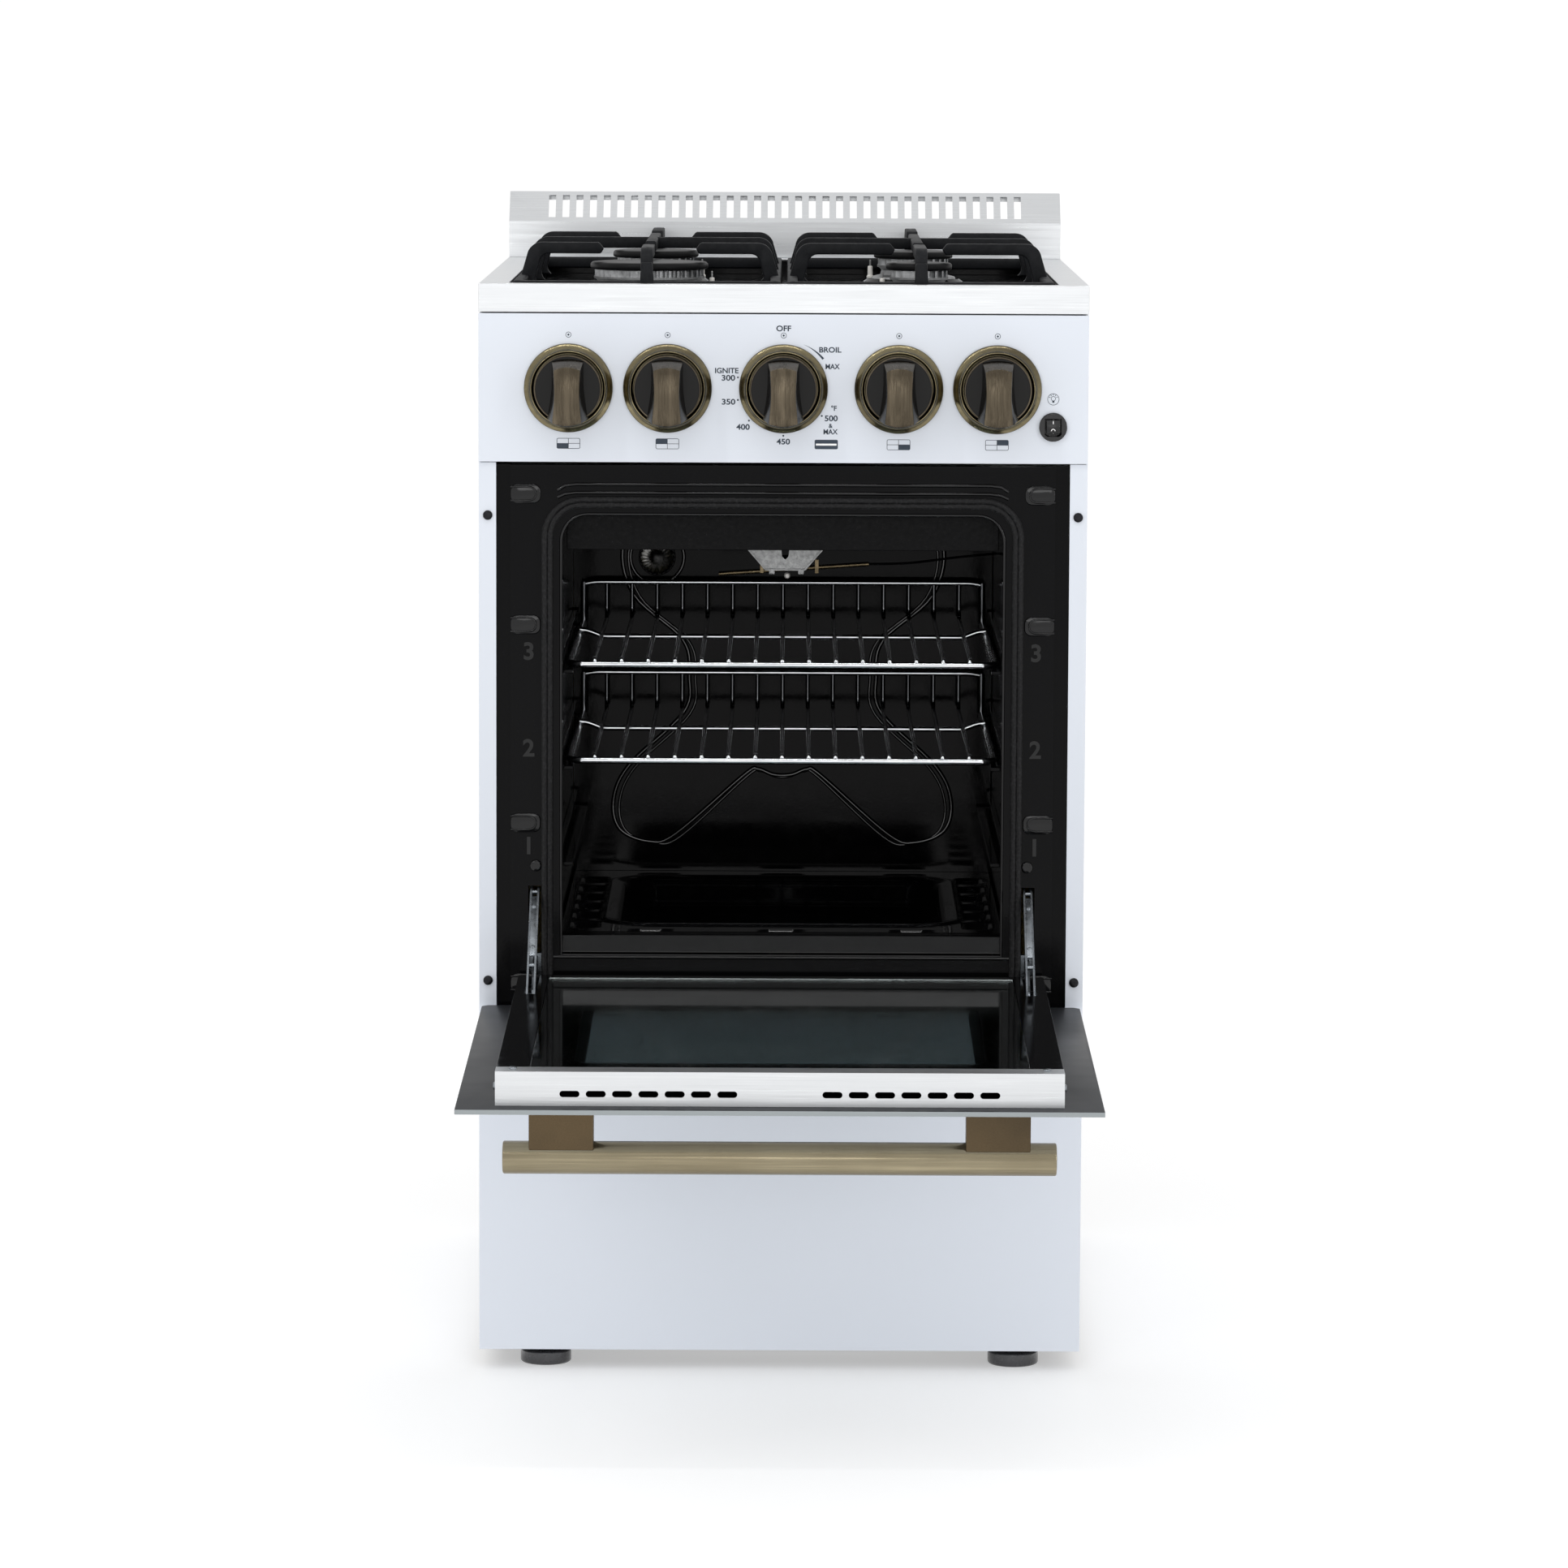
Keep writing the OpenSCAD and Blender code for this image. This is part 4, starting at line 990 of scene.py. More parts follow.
def add_flare(bm, cx, start, sign, low, top):
    """Spread root of the front or rear arm."""
    flare = [(-13, low)] + arc(-13.5, low + 10, 8.0, 290, 350, 4) + [(-4.6, top - 12), (4.6, top - 12)]
    flare += [(-x, z) for x, z in reversed(flare[1:5])] + [(13, low)]
    part = bmesh.new()
    add_prism(part, [(cx + x, z) for x, z in flare], "y", *sorted((start, start + sign * 8.5)))
    merge_bevelled(bm, part, 1.2, 2)


def make_grate(side):
    node = side + "_grate"
    (x0, x1), (y0, y1), (z0, z1) = (span(node, axis) for axis in "xyz")
    cx, half, bar = (x0 + x1) / 2, (x1 - x0) / 2, 4.5
    foot, low, high = z0 + 4.6, z0 + 5, z0 + 18.4
    gap = {row: TIP_GAP[(side, row)] for row in BURNER_ROWS}
    mid = (y0 + y1) / 2 - 3
    bm = bmesh.new()
    for sign in (-1, 1):
        start = cx + sign * half
        for row, y in BURNER_ROWS.items():
            add_arm(bm, arm_outline(half - gap[row], z1, foot), "x", (start, y), -sign, bar)
        add_arm(bm, arm_outline(half + 3, z1, foot), "x", (start, mid), -sign, bar)
    for row, start, sign in (("front", y0, 1), ("rear", y1, -1)):
        reach = abs(BURNER_ROWS[row] - start) - gap[row]
        add_arm(bm, arm_outline(reach, z1, foot), "y", (cx, start), sign, bar + 0.6)
        add_flare(bm, cx, start, sign, low, z1)
    joined = (BURNER_ROWS["front"] + gap["front"], BURNER_ROWS["rear"] - gap["rear"])
    add_grate_box(bm, (cx - bar, cx + bar), joined, (z1 - ARM_DROP, z1), 1.5)
    wide = 9.0
    for x in ((x0, x0 + wide), (x1 - wide, x1)):
        add_grate_box(bm, x, (y0 + 1, y1 - 1), (low, high - 3.4), 2.0)
    for y in ((y0, y0 + wide), (y1 - wide, y1)):
        add_grate_box(bm, (x0 + 1, x1 - 1), y, (low, high - 3.4), 2.0)
    pad = [(0, z0), (3.2, z0), (4, z0 + 0.8), (4, low + 1), (0, low + 1)]
    for x in (x0 + bar, x1 - bar):
        for y in (y0 + bar, y1 - bar):
            add_lathe(bm, pad, upright(x, y), 24)
    piece(side + "_casting", bm, "cast_iron", "grate_" + side, stands_for=[node], angle=45)


make_burner_heads()
make_burner_caps()
make_igniters()
make_grate("left")
make_grate("right")

# ---------- oven ----------
FRAME_Y = span("oven_front_frame", "y")[0]
BACK_Y = span("oven_cavity", "y")[1] - 1.2
HOLE_X = 183.0
HOLE_LOW = 353.5
HOLE_HIGH = 722.0
HOLE_R = 21.0
HINGE_X = 206.0  # middle of each hinge, left and right


def hoop(x_half, low, high, r, steps=10):
    """Open outline up one side, over two round corners and down the other side."""
    over = arc(x_half - r, high - r, r, 0, 90, steps) + arc(-x_half + r, high - r, r, 90, 180, steps)
    return [(x_half, low)] + over + [(-x_half, low)]


def around_opening(out):
    """Sides and top of the oven's opening, moved outwards."""
    return hoop(HOLE_X + out, HOLE_LOW - out, HOLE_HIGH + out, HOLE_R + out)


def make_front_frame_relief():
    """Pressed beads, stop pads, level digits and bolts on the oven's front frame."""
    bm = bmesh.new()
    pad_in, pad_out = 201, 226
    deep, shallow = FRAME_Y - 1.8, FRAME_Y - 1.4
    for z, droop in ((748.0, 5.0), (741.0, 4.0)):
        path = [(-187, FRAME_Y, z - droop), (-181, FRAME_Y, z - 1.2), (-172, FRAME_Y, z), (172, FRAME_Y, z)]
        path += [(181, FRAME_Y, z - 1.2), (187, FRAME_Y, z - droop)]
        add_tube(bm, path, 1.5, sides=12)
    for z in (740, 631, 465, 330):
        for s in (-1, 1):
            pad = bmesh.new()
            xs = sorted((s * pad_in, s * pad_out))
            add_prism(pad, round_rect(xs, (z - 8, z + 8), 6), "y", FRAME_Y - 1.6, FRAME_Y + 0.3)
            merge_bevelled(bm, pad, 1.1)
            groove = [(s * pad_out, shallow, z + 5.6), (s * 209, deep, z + 5.4), (s * 205, deep, z)]
            groove += [(s * 209, deep, z - 5.4), (s * pad_out, shallow, z - 5.6)]
            add_tube(bm, curved_path(groove, 4), 0.9, sides=8)
    add_tube(bm, on_plane(around_opening(1.2), FRAME_Y + 0.4), 1.4, closed=True, up=(0, 1, 0))
    for x_end, z in ((191, 352.0), (186, 334.5)):
        add_tube(bm, [(-x_end, FRAME_Y, z), (x_end, FRAME_Y, z)], 1.5, sides=12)
    for s in (-1, 1):
        merged(bm, add_cross_screw(facing_front(s * 205, FRAME_Y - 0.1, 429), 5.0, 2.4))
    piece("frame_relief", bm, "relief_enamel", "cabinet", slot="black_enamel", angle=50)
    bm = bmesh.new()
    for words, z in (("3", 608), ("2", 527), ("1", 445)):
        for s in (-1, 1):
            add_text(bm, words, s * 211, z, 14, FRAME_Y - 0.9)
    for v in bm.verts:
        if v.co.y > FRAME_Y - 0.9:
            v.co.y = FRAME_Y + 0.2
    piece("level_digits", bm, "relief_enamel", "cabinet", slot="black_enamel", angle=30)


def make_gasket():
    """Two ribs of woven sleeve over the sides and top of the opening, on a flat carrier."""
    x1, (z0, z1) = span("door_gasket", "x")[1], span("door_gasket", "z")
    bm = bmesh.new()
    corner = 28.5 + 4.5
    for inset in (2.4, 6.8):
        loop = hoop(x1 - inset, z0, z1 - inset, corner - inset, 12)
        add_tube(bm, on_plane(loop, FRAME_Y - 2.65), 2.6, sides=14, up=(0, 1, 0))
    outer, inner = hoop(x1 - 1, z0, z1 - 1, corner - 1, 12), hoop(x1 - 8, z0, z1 - 8, corner - 8, 12)
    rings = [[bm.verts.new((x, FRAME_Y - 0.3, z)) for x, z in ring] for ring in (outer, inner)]
    for k in range(len(outer) - 1):
        bm.faces.new((rings[0][k], rings[0][k + 1], rings[1][k + 1], rings[1][k]))
    piece("gasket_sleeve", bm, "gasket_rope", "cabinet", stands_for=["door_gasket"], angle=60)


def make_front_frame():
    """Pressed front of the oven: stepped flanges, hinge slots and a drawn opening."""
    x1, (z0, z1) = span("oven_front_frame", "x")[1], span("oven_front_frame", "z")
    flat, t, step = 226.0, 1.2, 7.0
    bm = bmesh.new()
    add_box(bm, (-flat, flat), (FRAME_Y, FRAME_Y + t), (z0, z1))
    cutter = bmesh.new()
    through = (FRAME_Y - 2, FRAME_Y + 4)
    add_prism(cutter, around_opening(0.0), "y", *through)
    for s in (-1, 1):
        add_box(cutter, (s * HINGE_X - 5.5, s * HINGE_X + 5.5), through, (328, 412))
    bm = carved(bm, cutter)
    rings = []
    for y, out in ((FRAME_Y + t, 0.0), (13.6, 0.0), (13.6, t), (FRAME_Y + t, t)):
        rings.append([bm.verts.new((x, y, z)) for x, z in around_opening(out)])
    ring_faces(bm, rings, closed=True)
    for s in (-1, 1):
        add_box(bm, sorted((s * flat, s * (flat - t))), (FRAME_Y + 0.6, FRAME_Y + step + t), (z0, z1))
        add_box(bm, sorted((s * flat, s * x1)), (FRAME_Y + step, FRAME_Y + step + t), (z0, z1))
    piece("front_frame", bm, "black_enamel", "cabinet", stands_for=["oven_front_frame"])


def make_back_wall_relief():
    """Pressed stiffening beads on the rear wall, and the ring round the lamp."""
    bm = bmesh.new()
    y = BACK_Y - 0.2
    half = [(-112, 694), (-143, 664), (-134, 618), (-90, 578), (-84, 545), (-89, 512), (-138, 464)]
    half += [(-152, 432), (-146, 406), (-120, 395), (-96, 402), (-34, 456), (-22, 461), (-8, 456)]
    for r, shift in ((2.0, 0), (1.4, 5.5)):
        path = [(x + (shift if x < -60 else shift * 0.4), z - shift * 0.3) for x, z in half]
        path = path + [(-x, z) for x, z in reversed(path)]
        add_tube(bm, curved_path(on_plane(path, y), 7), r, sides=8, up=(0, 1, 0))
    arch = on_plane(arc(1.5, 606, 62, 62, 118, 14), y)
    add_tube(bm, arch, 1.8, sides=8, up=(0, 1, 0))
    lamp_x, lamp_z = middle("oven_lamp", "x"), middle("oven_lamp", "z")
    lamp_ring = on_plane(circle(lamp_x, lamp_z, 24, 40), y)
    add_tube(bm, lamp_ring, 1.8, closed=True, sides=8, up=(0, 1, 0))
    piece("back_wall_relief", bm, "bead_enamel", "cabinet", slot="black_enamel", angle=60)


def make_lamp():
    """Ribbed glass dome, and a collar with the bulb's shape in it. The dome's dark tint and the black collar
    and bulb are painted shade.
    """
    bm = bmesh.new()
    x, z = middle("oven_lamp", "x"), middle("oven_lamp", "z")
    steps, ribs = 96, 24
    rings = []
    for k in range(8):
        rise = math.pi / 2 * k / 8
        ring = []
        for i in range(steps):
            a = 2 * math.pi * i / steps
            r = (15.4 + 0.45 * math.cos(ribs * a)) * math.cos(rise)
            ring.append(bm.verts.new((r * math.cos(a), r * math.sin(a), 3 + 15 * math.sin(rise))))
        rings.append(ring)
    ring_faces(bm, rings)
    bm.faces.new(rings[-1])
    bm.transform(facing_front(x, BACK_Y - 0.4, z))
    piece("lamp_dome", bm, "lamp_glass", "cabinet", stands_for=["oven_lamp"], angle=60)
    bm = bmesh.new()
    place = facing_front(x, BACK_Y - 0.3, z)
    add_lathe(bm, [(12, 0), (16.5, 0), (16.6, 2.2), (15.8, 3.0), (12, 3.0)], place, 64)
    add_lathe(bm, [(0, 2), (6, 2), (5, 9), (3.5, 12), (0, 13)], place, 32)
    piece("lamp_collar", bm, "black_enamel", "cabinet")


def smooth_step(t):
    t = max(0.0, min(1.0, t))
    return t * t * (3 - 2 * t)


def inside_round_rect(x, y, cx, cy, half_x, half_y, r):
    """Distance inside a rounded rectangle, negative outside."""
    dx, dy = abs(x - cx) - half_x + r, abs(y - cy) - half_y + r
    outside = math.hypot(max(dx, 0), max(dy, 0))
    return r - outside - min(max(dx, dy), 0)


def tray_height(x, y):
    """Relief of the pressed oven floor, below 0: the pan, side pockets, slots and front lips."""
    depth = -24.5 * smooth_step(inside_round_rect(x, y, 0, 242, 142, 152, 34) / 20)
    depth += 2.2 * smooth_step((6 - abs(inside_round_rect(x, y, 0, 242, 146, 156, 36) + 3)) / 6)
    for k in range(6):
        pocket = inside_round_rect(abs(x), y, 166, 84 + 58 * k, 11, 20, 7)
        depth -= 5.0 * smooth_step(pocket / 5)
    for sx in (-110, 0, 110):
        for sy in (50, 415):
            depth -= 6.0 * smooth_step(inside_round_rect(x, y, sx, sy, 17, 5.5, 5.5) / 2.5)
    for lip in (27, 36):
        depth += 1.8 * smooth_step((2.6 - abs(y - lip)) / 2.6)
    return min(depth, 1.6)


def make_oven_floor():
    x_half, step = 186.0, 3.1
    y0, y1 = span("oven_bottom_tray", "y")
    top = span("oven_bottom_tray", "z")[1] - 1.6
    nx, ny = int(2 * x_half / step), int((y1 - y0) / step)
    bm = bmesh.new()
    rows = []
    for j in range(ny + 1):
        y = y0 + (y1 - y0) * j / ny
        xs = [-x_half + 2 * x_half * i / nx for i in range(nx + 1)]
        rows.append([bm.verts.new((x, y, top + tray_height(x, y))) for x in xs])
    for a, b in zip(rows, rows[1:]):
        for i in range(nx):
            bm.faces.new((a[i], a[i + 1], b[i + 1], b[i]))
    skirt = [bm.verts.new((v.co.x, v.co.y, top - 14)) for v in rows[0]]
    for i in range(nx):
        bm.faces.new((skirt[i], skirt[i + 1], rows[0][i + 1], rows[0][i]))
    stands_for = ["oven_bottom_tray"]
    piece("oven_floor", bm, "relief_enamel", "cabinet", slot="black_enamel", stands_for=stands_for, angle=60)


def make_broil_spreader():
    """Folded face of the broiler's heat spreader, with its notch."""
    bm = bmesh.new()
    notch = [(8, 702), (4.5, 674), (2, 671.5), (-0.5, 674), (-4, 702)]
    face = [(-48, 702), (-16, 662.4), (20, 662.4), (52, 702)] + notch
    add_prism(bm, face, "y", 181.4, 182.4)
    bevelled(bm, 0.25, 1, 40)
    for x in (-12, 13):
        tab = bmesh.new()
        add_box(tab, (x, x + 5), (180.6, 190), (658.6, 663.5))
        merge_bevelled(bm, tab, 0.6, 2)
    piece("spreader_face", bm, "aluminised_sheet", "cabinet")
    bm = bmesh.new()
    add_lathe(bm, [(0, 0), (2.6, 0), (2.6, 6), (1.6, 8), (0, 8)], facing_front(3.7, 188, 657.5), 20)
    piece("broil_electrode", bm, "white_ceramic", "cabinet")


def make_thermostat():
    """Sensing bulb in its two clips, with a dark capillary to the side wall."""
    (x0, x1), (z0, z1) = span("thermostat_bulb", "x"), span("thermostat_bulb", "z")
    y = middle("thermostat_bulb", "y")
    bm = bmesh.new()
    ends = [(x0 + 1, y, z0 + 2.6), (x0 + 3, y, z0 + 2.8), (73, y, 657.9), (75, y, 658)]
    add_tube(bm, ends, 2.1, sides=14)
    for x in (-20, 28):
        add_box(bm, (x, x + 3), (y - 3, y + 3), (650, 661.8))
    piece("sensing_bulb", bm, "bulb_copper", "cabinet", stands_for=["thermostat_bulb"])
    bm = bmesh.new()
    droop = [(74, y, 658), (110, y, 659), (150, y, 664), (x1 - 0.2, y, z1 - 1.3)]
    add_tube(bm, curved_path(droop, 5), 1.1, sides=10)
    piece("capillary", bm, "black_enamel", "cabinet", slot="bulb_copper")


make_front_frame()
make_front_frame_relief()
make_gasket()
make_back_wall_relief()
make_lamp()
make_oven_floor()
make_broil_spreader()
make_thermostat()
dress("broiler_baffle", baffle_coat())

# ---------- racks ----------


def bent_path(points, r, steps=5):
    """Polyline with its corners rounded, as bent wire."""
    p = [Vector(q) for q in points]
    out = [p[0]]
    for a, b, c in zip(p, p[1:], p[2:]):
        back, ahead = (a - b).normalized(), (c - b).normalized()
        start, end = b + back * r, b + ahead * r
        for k in range(steps + 1):
            t = k / steps
            out.append((1 - t) ** 2 * start + 2 * t * (1 - t) * b + t * t * end)
    out.append(p[-1])
    return out


# Painted shade: the rack wires take a darker copy of the chrome, which stands in for the dark oven that they
# reflect.
shaded_chrome = plain_metal("shaded_chrome", (0.17, 0.175, 0.185), 0.12, 0.75, 60, 0.008)


def make_rack(level):
    """Chrome rack: heavy frame, fifteen bent wires, a kinked cross bar and the rear stop."""
    node = level + "_rack"
    (_, x1), (y0, y1), (z0, z1) = (span(node, axis) for axis in "xyz")
    frame_r, wire_r, cross_r = 3.0, 1.9, 2.4
    z, front, back, top = z0 + frame_r, y0 + frame_r, y1 - frame_r, z1 - frame_r
    x_side, fence_y = x1 - frame_r, back - 4.3
    bm = bmesh.new()
    outline = [(x_side, fence_y, z), (x_side, front + 8, z), (x_side - 7, front, z)]
    add_tube(bm, bent_path(mirrored(outline), 4), frame_r, sides=14, up=(0.02, 0.03, 1))
    droop = [(x_side - 1, fence_y, top - 1.6), (x_side - 8, fence_y, top - 0.3), (x_side - 12, fence_y, top)]
    add_tube(bm, bent_path(mirrored(droop), 3), frame_r - 0.5, sides=14)
    kink = [(x_side, 305, z + 5.0), (x_side - 7, 305, z + 4.2), (x_side - 20, 305, z - 0.8)]
    add_tube(bm, bent_path(mirrored(kink), 4), cross_r, sides=12)
    piece(level + "_rack_frame", bm, "chrome_wire", "rack_" + level, stands_for=[node], angle=60)
    grid_z = z + frame_r + wire_r - 0.6
    wires, ends = bmesh.new(), bmesh.new()
    for s in (-1, 1):
        post = [(s * x_side, fence_y, z), (s * x_side, fence_y, top)]
        add_tube(wires, post, frame_r, sides=12, up=(1, 0, 0))
    for i in range(-7, 8):
        x = 22.5 * i
        tip = (x, front - 1.6, grid_z - 1.2)
        wire = [tip, (x, front + 1.5, grid_z), (x, fence_y, grid_z), (x, fence_y, top)]
        add_tube(wires, bent_path(wire, 1.4, 4)[:6], wire_r, sides=10, up=(1, 0, 0))
        add_tube(wires, bent_path(wire[1:], 11, 6), wire_r, sides=10, up=(1, 0, 0))
        cap = [(wire_r, -1.2), (wire_r, 0), (wire_r * 0.8, 0.7), (0, 0.95)]
        add_lathe(ends, cap, facing_front(*tip), 12)
    piece(level + "_rack_wires", wires, shaded_chrome, "rack_" + level, slot="chrome_wire", angle=60)
    piece(level + "_wire_ends", ends, "chrome_wire", "rack_" + level, angle=60)


make_rack("upper")
make_rack("lower")

# ---------- door, drawn closed ----------
GLASS_FRONT = -34.0
GLASS_T = 4.0
DOOR_LOW = 303.0
WINDOW = ((-155.0, 155.0), (352.0, 650.0))
satin_grey = enamel("door_backing", (0.02, 0.022, 0.026), 0.4, 0.01, 0.0, 1.3)
cut_edge = enamel("glass_edge", (0.30, 0.33, 0.34), 0.22, 0.01, 0.5)
window_pane = glass("window_glass", (0.30, 0.36, 0.36), 0.03)


def make_outer_panel():
    """Glass front with a painted border, a clear window, ground edges and a grey rear face."""
    low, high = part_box("door_outer_panel")
    half = (high.x - low.x) / 2 / MM
    height = (high - low).y / MM
    cut = 5.0
    back = GLASS_FRONT + GLASS_T
    cut_z, top = DOOR_LOW + cut, DOOR_LOW + height
    outline = [(-half + cut, DOOR_LOW), (half - cut, DOOR_LOW)]
    outline += [(half, cut_z), (half, top), (-half, top), (-half, cut_z)]
    bm = bmesh.new()
    add_prism(bm, outline, "y", GLASS_FRONT, back)
    bevelled(bm, 0.45, 2, 30)
    cutter = bmesh.new()
    add_prism(cutter, round_rect(*WINDOW, 10), "y", GLASS_FRONT - 2, back + 2)
    bm = carved(bm, cutter)
    bmesh.ops.recalc_face_normals(bm, faces=bm.faces)
    for f in bm.faces:
        f.material_index = 1 if f.normal.y > 0.9 else 0 if f.normal.y < -0.9 else 2
    obj = piece("door_panel", bm, "door_glass", "door", DOOR, stands_for=["door_outer_panel"])
    obj.data.materials.append(satin_grey)
    obj.data.materials.append(cut_edge)
    bm = bmesh.new()
    (x0, x1), (z0, z1) = WINDOW
    pane = round_rect((x0 + 0.1, x1 - 0.1), (z0 + 0.1, z1 - 0.1), 9.9)
    add_prism(bm, pane, "y", GLASS_FRONT + 0.1, back - 0.1)
    piece("door_window", bm, window_pane, "door", DOOR, slot="inner_glass")


def make_inner_pane_border():
    """Black ceramic print round the edge of the inner glass."""
    bm = bmesh.new()
    outer = round_rect((-193.0, 193.0), (322.8, 725.6), 3)
    inner = round_rect((-160.0, 160.0), (352.0, 700.0), 12)
    flat_band(bm, outer, inner, -8.0)
    piece("pane_border", bm, "black_enamel", "door", DOOR)


def make_trim_screws():
    bm = bmesh.new()
    for s in (-1, 1):
        place = Matrix.Translation((s * 219.5, -16.0, 738)) @ Matrix.Rotation(s * math.pi / 2, 4, "Y")
        merged(bm, add_cross_screw(place, 3.2, 1.6))
        facing_rear = facing_front(s * HINGE_X, -2.9, 735) @ Matrix.Rotation(math.pi, 4, "X")
        merged(bm, add_cross_screw(facing_rear, 3.2, 1.4))
    piece("trim_screws", bm, "zinc_plate", "door", DOOR)


def make_handle():
    """Round bar with chamfered ends."""
    bm = bmesh.new()
    low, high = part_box("handle_bar")
    half, r = high.x / MM, (high.z - low.z) / 2 / MM
    centre = (low + high) / 2
    place = Matrix.Translation((centre.x / MM, (centre.y - FRONT) / MM, centre.z / MM))
    place = place @ Matrix.Rotation(math.pi / 2, 4, "Y")
    profile = [(0, -half), (r - 1.6, -half), (r - 0.5, -half + 0.4), (r, -half + 1.4)]
    add_lathe(bm, profile + [(a, -h) for a, h in reversed(profile)], place, 72)
    piece("bar", bm, bar_metal, "door", slot="antique_bronze", stands_for=["handle_bar"], angle=40)


def make_link_webs():
    """Folded web that joins the two cheeks of each hinge link."""
    pivot = JOINTS["door_link_pivot"]["pos_m"]
    shut = DOOR.inverted() @ Vector(pivot)
    hinge = DOOR.inverted() @ Vector(JOINTS["door_hinge"]["pos_m"])
    tilt = math.atan((shut.y - hinge.y) / (shut.z - hinge.z))
    bm = bmesh.new()
    for s in (-1, 1):
        part = bmesh.new()
        add_box(part, (s * HINGE_X - 3.7, s * HINGE_X + 3.7), (48, 116), (2.2, 3.7))
        merge_bevelled(bm, part, 0.6, 2)
        for y in (58, 104):
            add_lathe(bm, [(0, 4.6), (1.6, 4.4), (2.2, 3.6)], upright(s * HINGE_X, y), 16)
    bm.transform(Matrix.Translation((0, shut.y, shut.z)) @ Matrix.Rotation(-tilt, 4, "X"))
    piece("link_webs", bm, "zinc_plate", "door_links", LINK)


# The bar's bronze carries painted highlight streaks, and its darker patina colour also gives painted shade
# towards the bar's upper and lower edges.
BAR_BRONZE = (0.33, 0.285, 0.19)
BAR_PATINA_AND_SHADE = (0.2, 0.165, 0.105)
bar_metal = brushed("bar_bronze", BAR_BRONZE, 0.22, "x", 0.004, 0.72, 1200, BAR_PATINA_AND_SHADE, True)
make_outer_panel()
make_inner_pane_border()
make_trim_screws()
make_handle()
make_link_webs()
POST_BRONZE = (0.125, 0.09, 0.052)
dress("handle_posts", brushed("post_bronze", POST_BRONZE, 0.36, "y", 0.006, 0.8, 900, BRONZE_DARK))

# ---------- rear ----------


def make_rear_screws():
    bm = bmesh.new()
    half, (z0, z1) = span("rear_cover", "x")[1] - 9, span("rear_cover", "z")
    y = span("rear_cover", "y")[1]
    rows = 5
    for k in range(rows):
        z = z0 + 12 + (z1 - z0 - 24) * k / (rows - 1)
        for s in (-1, 1):
            place = Matrix.Translation((s * half, y - 2.0, z)) @ Matrix.Rotation(-math.pi / 2, 4, "X")
            merged(bm, add_cross_screw(place, 4.2, 1.9))
    piece("rear_screws", bm, "zinc_plate", "cabinet")


make_rear_screws()

# ---------- rounded edges of the CAD nodes that stay in view, in millimetres ----------
EDGE_MM = {
    "control_panel": 0.7,
    "left_side_panel": 0.5,
    "right_side_panel": 0.5,
    "drawer_front": 0.55,
    "cooktop_frame": 0.55,
    "backguard": 0.5,
    "rear_cover": 0.4,
    "burner_tray": 0.5,
    "broiler_baffle": 0.8,
    "oven_cavity": 0.8,
    "door_top_trim": 0.5,
    "door_inner_frame": 0.5,
    "door_hinge_channels": 0.3,
    "hinge_links": 0.35,
    "hinge_receivers": 0.3,
    "handle_posts": 0.6,
    "door_inner_glass": 0.4,
}
for cad_node, edge_mm in EDGE_MM.items():
    soften(cad_node, edge_mm)

# ---------- camera, light and floor ----------
# Where the photograph was taken from: eye in cabinet millimetres, turns in degrees
EYE = (5.3, -5476.1, 1136.9)
YAW = -0.036
PITCH = 6.647
ROLL = 0.251
LENS_MM = 151.9
SENSOR_MM = 36.0


def add_camera():
    yaw, pitch, roll = (math.radians(a) for a in (YAW, PITCH, ROLL))
    ahead = Vector((math.sin(yaw) * math.cos(pitch), math.cos(yaw) * math.cos(pitch), -math.sin(pitch)))
    right = Vector((math.cos(yaw), -math.sin(yaw), 0))
    up = right.cross(ahead)
    across = right * math.cos(roll) + up * math.sin(roll)
    over = -right * math.sin(roll) + up * math.cos(roll)
    data = bpy.data.cameras.new("camera")
    data.lens = LENS_MM
    data.sensor_width = SENSOR_MM
    data.clip_end = 50
    cam = bpy.data.objects.new("camera", data)
    facing = Matrix((across, over, -ahead)).transposed().to_4x4()
    cam.matrix_world = Matrix.Translation(CAB @ Vector(EYE)) @ facing
    bpy.context.scene.collection.objects.link(cam)
    bpy.context.scene.camera = cam


def add_light(name, place, aim, size, power):
    data = bpy.data.lights.new(name, "AREA")
    data.shape = "RECTANGLE"
    data.size, data.size_y = size
    data.energy = power
    obj = bpy.data.objects.new(name, data)
    obj.location = place
    obj.rotation_euler = (Vector(aim) - Vector(place)).to_track_quat("-Z", "Y").to_euler()
    bpy.context.scene.collection.objects.link(obj)


FLOOR_R = 40.0
HORIZON = 1.02
SKY = 0.84
GREY_FLOOR = (0.7, 0.7, 0.7)
CLOUDED_FLOOR = (0.68, 0.68, 0.68)


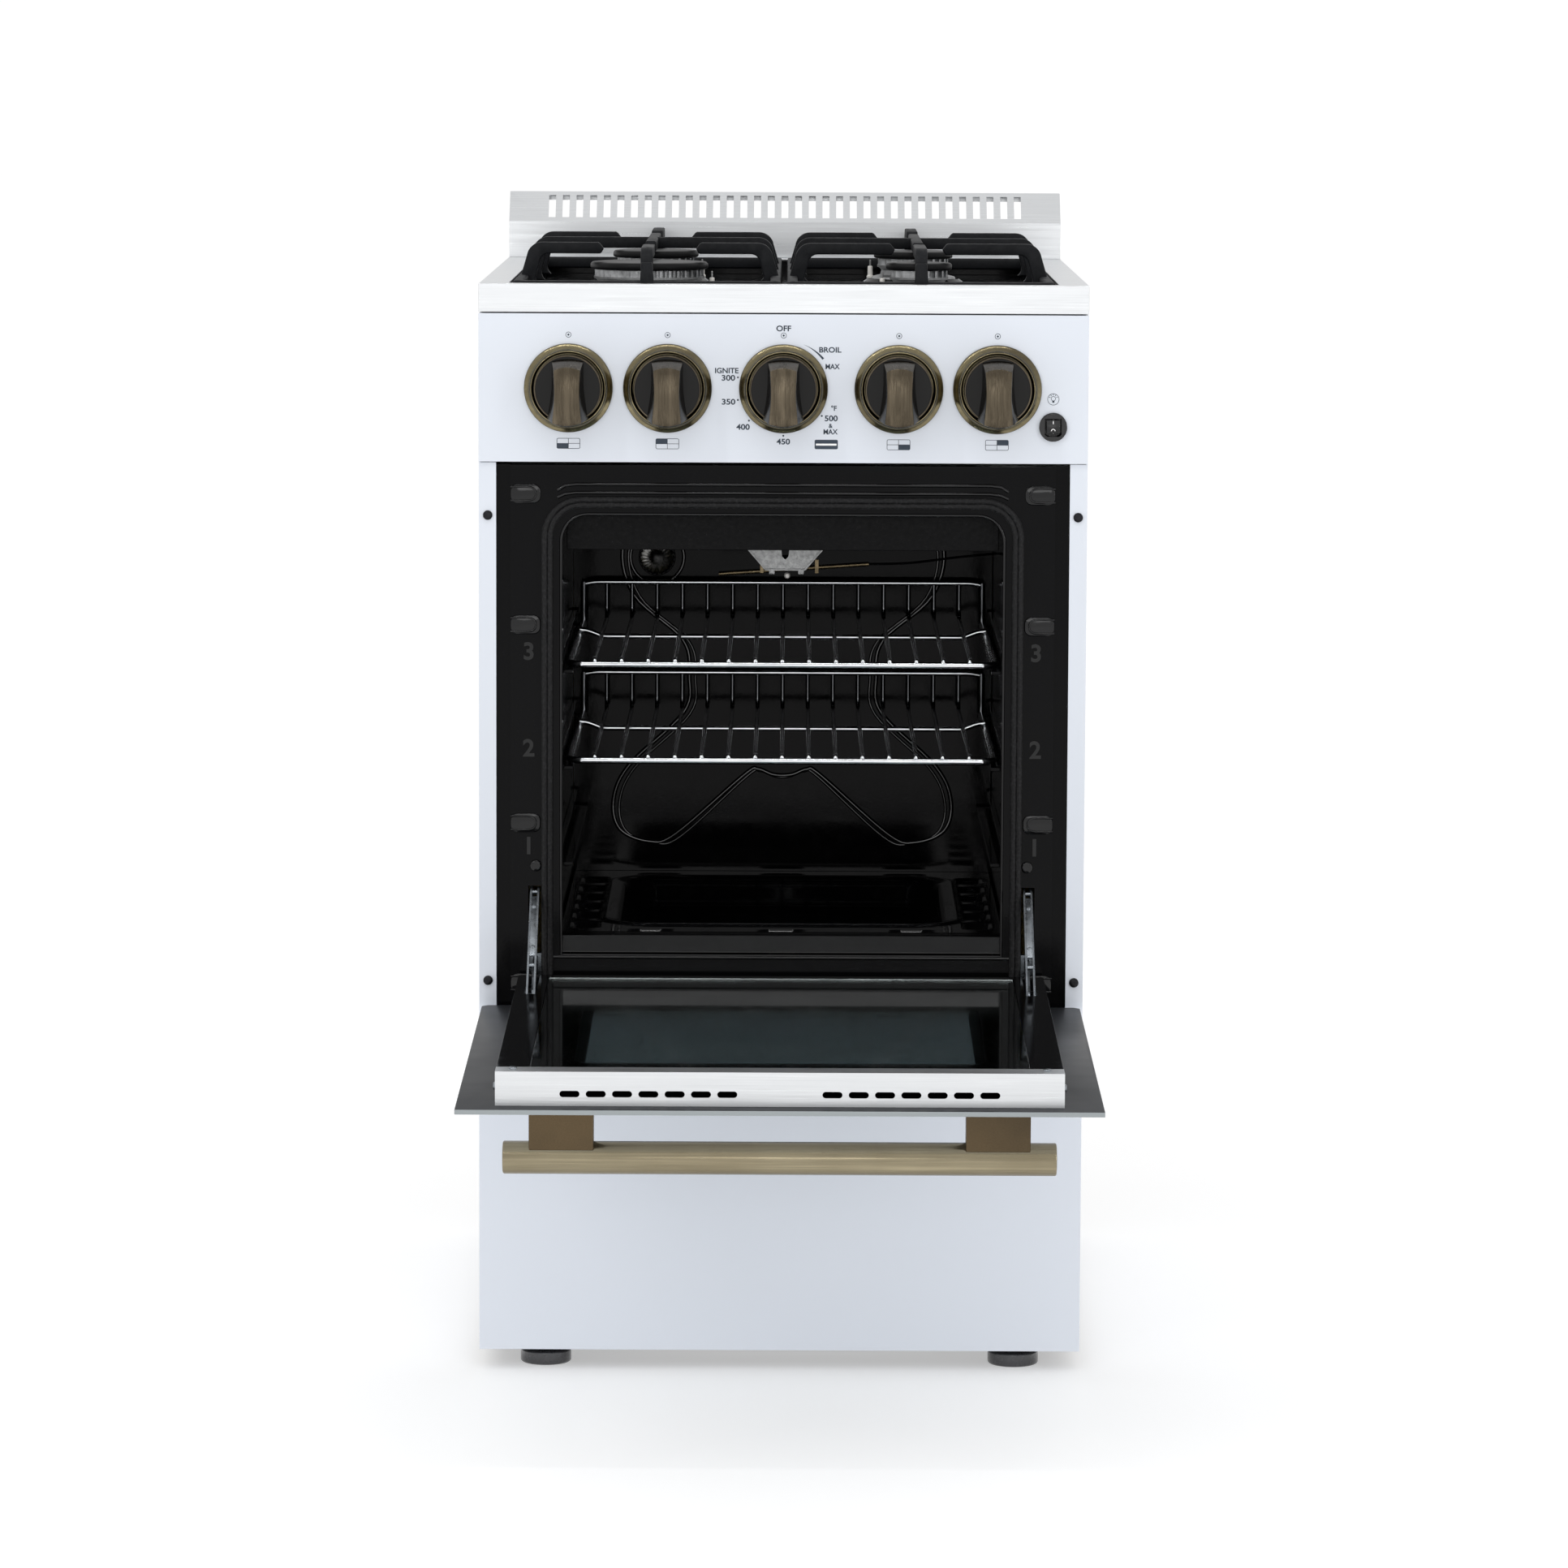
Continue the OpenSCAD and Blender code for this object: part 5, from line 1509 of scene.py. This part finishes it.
def add_floor():
    """A wide pale floor that glows a little, so that it meets the white horizon."""
    bm = bmesh.new()
    turn = [2 * math.pi * k / 96 for k in range(96)]
    bm.faces.new([bm.verts.new((FLOOR_R * math.cos(a), FLOOR_R * math.sin(a), 0)) for a in turn])
    mesh = bpy.data.meshes.new("floor")
    bm.to_mesh(mesh)
    bm.free()
    s = Surface("floor", GREY_FLOOR, 0.7)
    s.vary_colour(s.noise(2, 3), CLOUDED_FLOOR)
    where = s.node("ShaderNodeTexCoord")
    reach = s.node("ShaderNodeVectorMath", operation="LENGTH")
    s.join(where.outputs["Object"], reach.inputs[0])
    s.set("Emission Color", (1, 1, 1, 1))
    s.join(s.ranged(reach.outputs["Value"], 0.4, 0.42, 0.3, 2.6), s.bsdf.inputs["Emission Strength"])
    mesh.materials.append(s.mat)
    obj = bpy.data.objects.new("floor", mesh)
    bpy.context.scene.collection.objects.link(obj)


def add_world():
    """Soft surroundings: a white horizon and a slightly dimmer sky."""
    world = bpy.data.worlds.new("studio")
    world.use_nodes = True
    tree = world.node_tree
    where = tree.nodes.new("ShaderNodeTexCoord")
    parts = tree.nodes.new("ShaderNodeSeparateXYZ")
    tree.links.new(where.outputs["Generated"], parts.inputs[0])
    ramp = tree.nodes.new("ShaderNodeMapRange")
    ramp.interpolation_type = "SMOOTHSTEP"
    for socket, number in zip(("From Min", "From Max", "To Min", "To Max"), (0.03, 0.2, HORIZON, SKY)):
        ramp.inputs[socket].default_value = number
    tree.links.new(parts.outputs["Z"], ramp.inputs["Value"])
    shade = tree.nodes["Background"]
    shade.inputs["Color"].default_value = (1, 1, 1, 1)
    tree.links.new(ramp.outputs["Result"], shade.inputs["Strength"])
    bpy.context.scene.world = world


bpy.context.scene.view_settings.view_transform = "Standard"
add_camera()
add_world()
add_floor()
# Name, place, aim, width and height, power in watts
for lamp in (
    ("front", (0, -7.2, 1.55), (0, 0, 0.6), (3.4, 0.8), 18),
    ("key", (-1.9, -2.4, 2.9), (0, 0, 0.6), (0.06, 1.8), 11),
    ("fill", (2.6, -3.0, 1.5), (0, 0, 0.5), (0.05, 2.0), 7),
    ("strip", (0, -1.5, 2.7), (0, 0, 0.6), (1.6, 0.04), 6),
):
    add_light(*lamp)
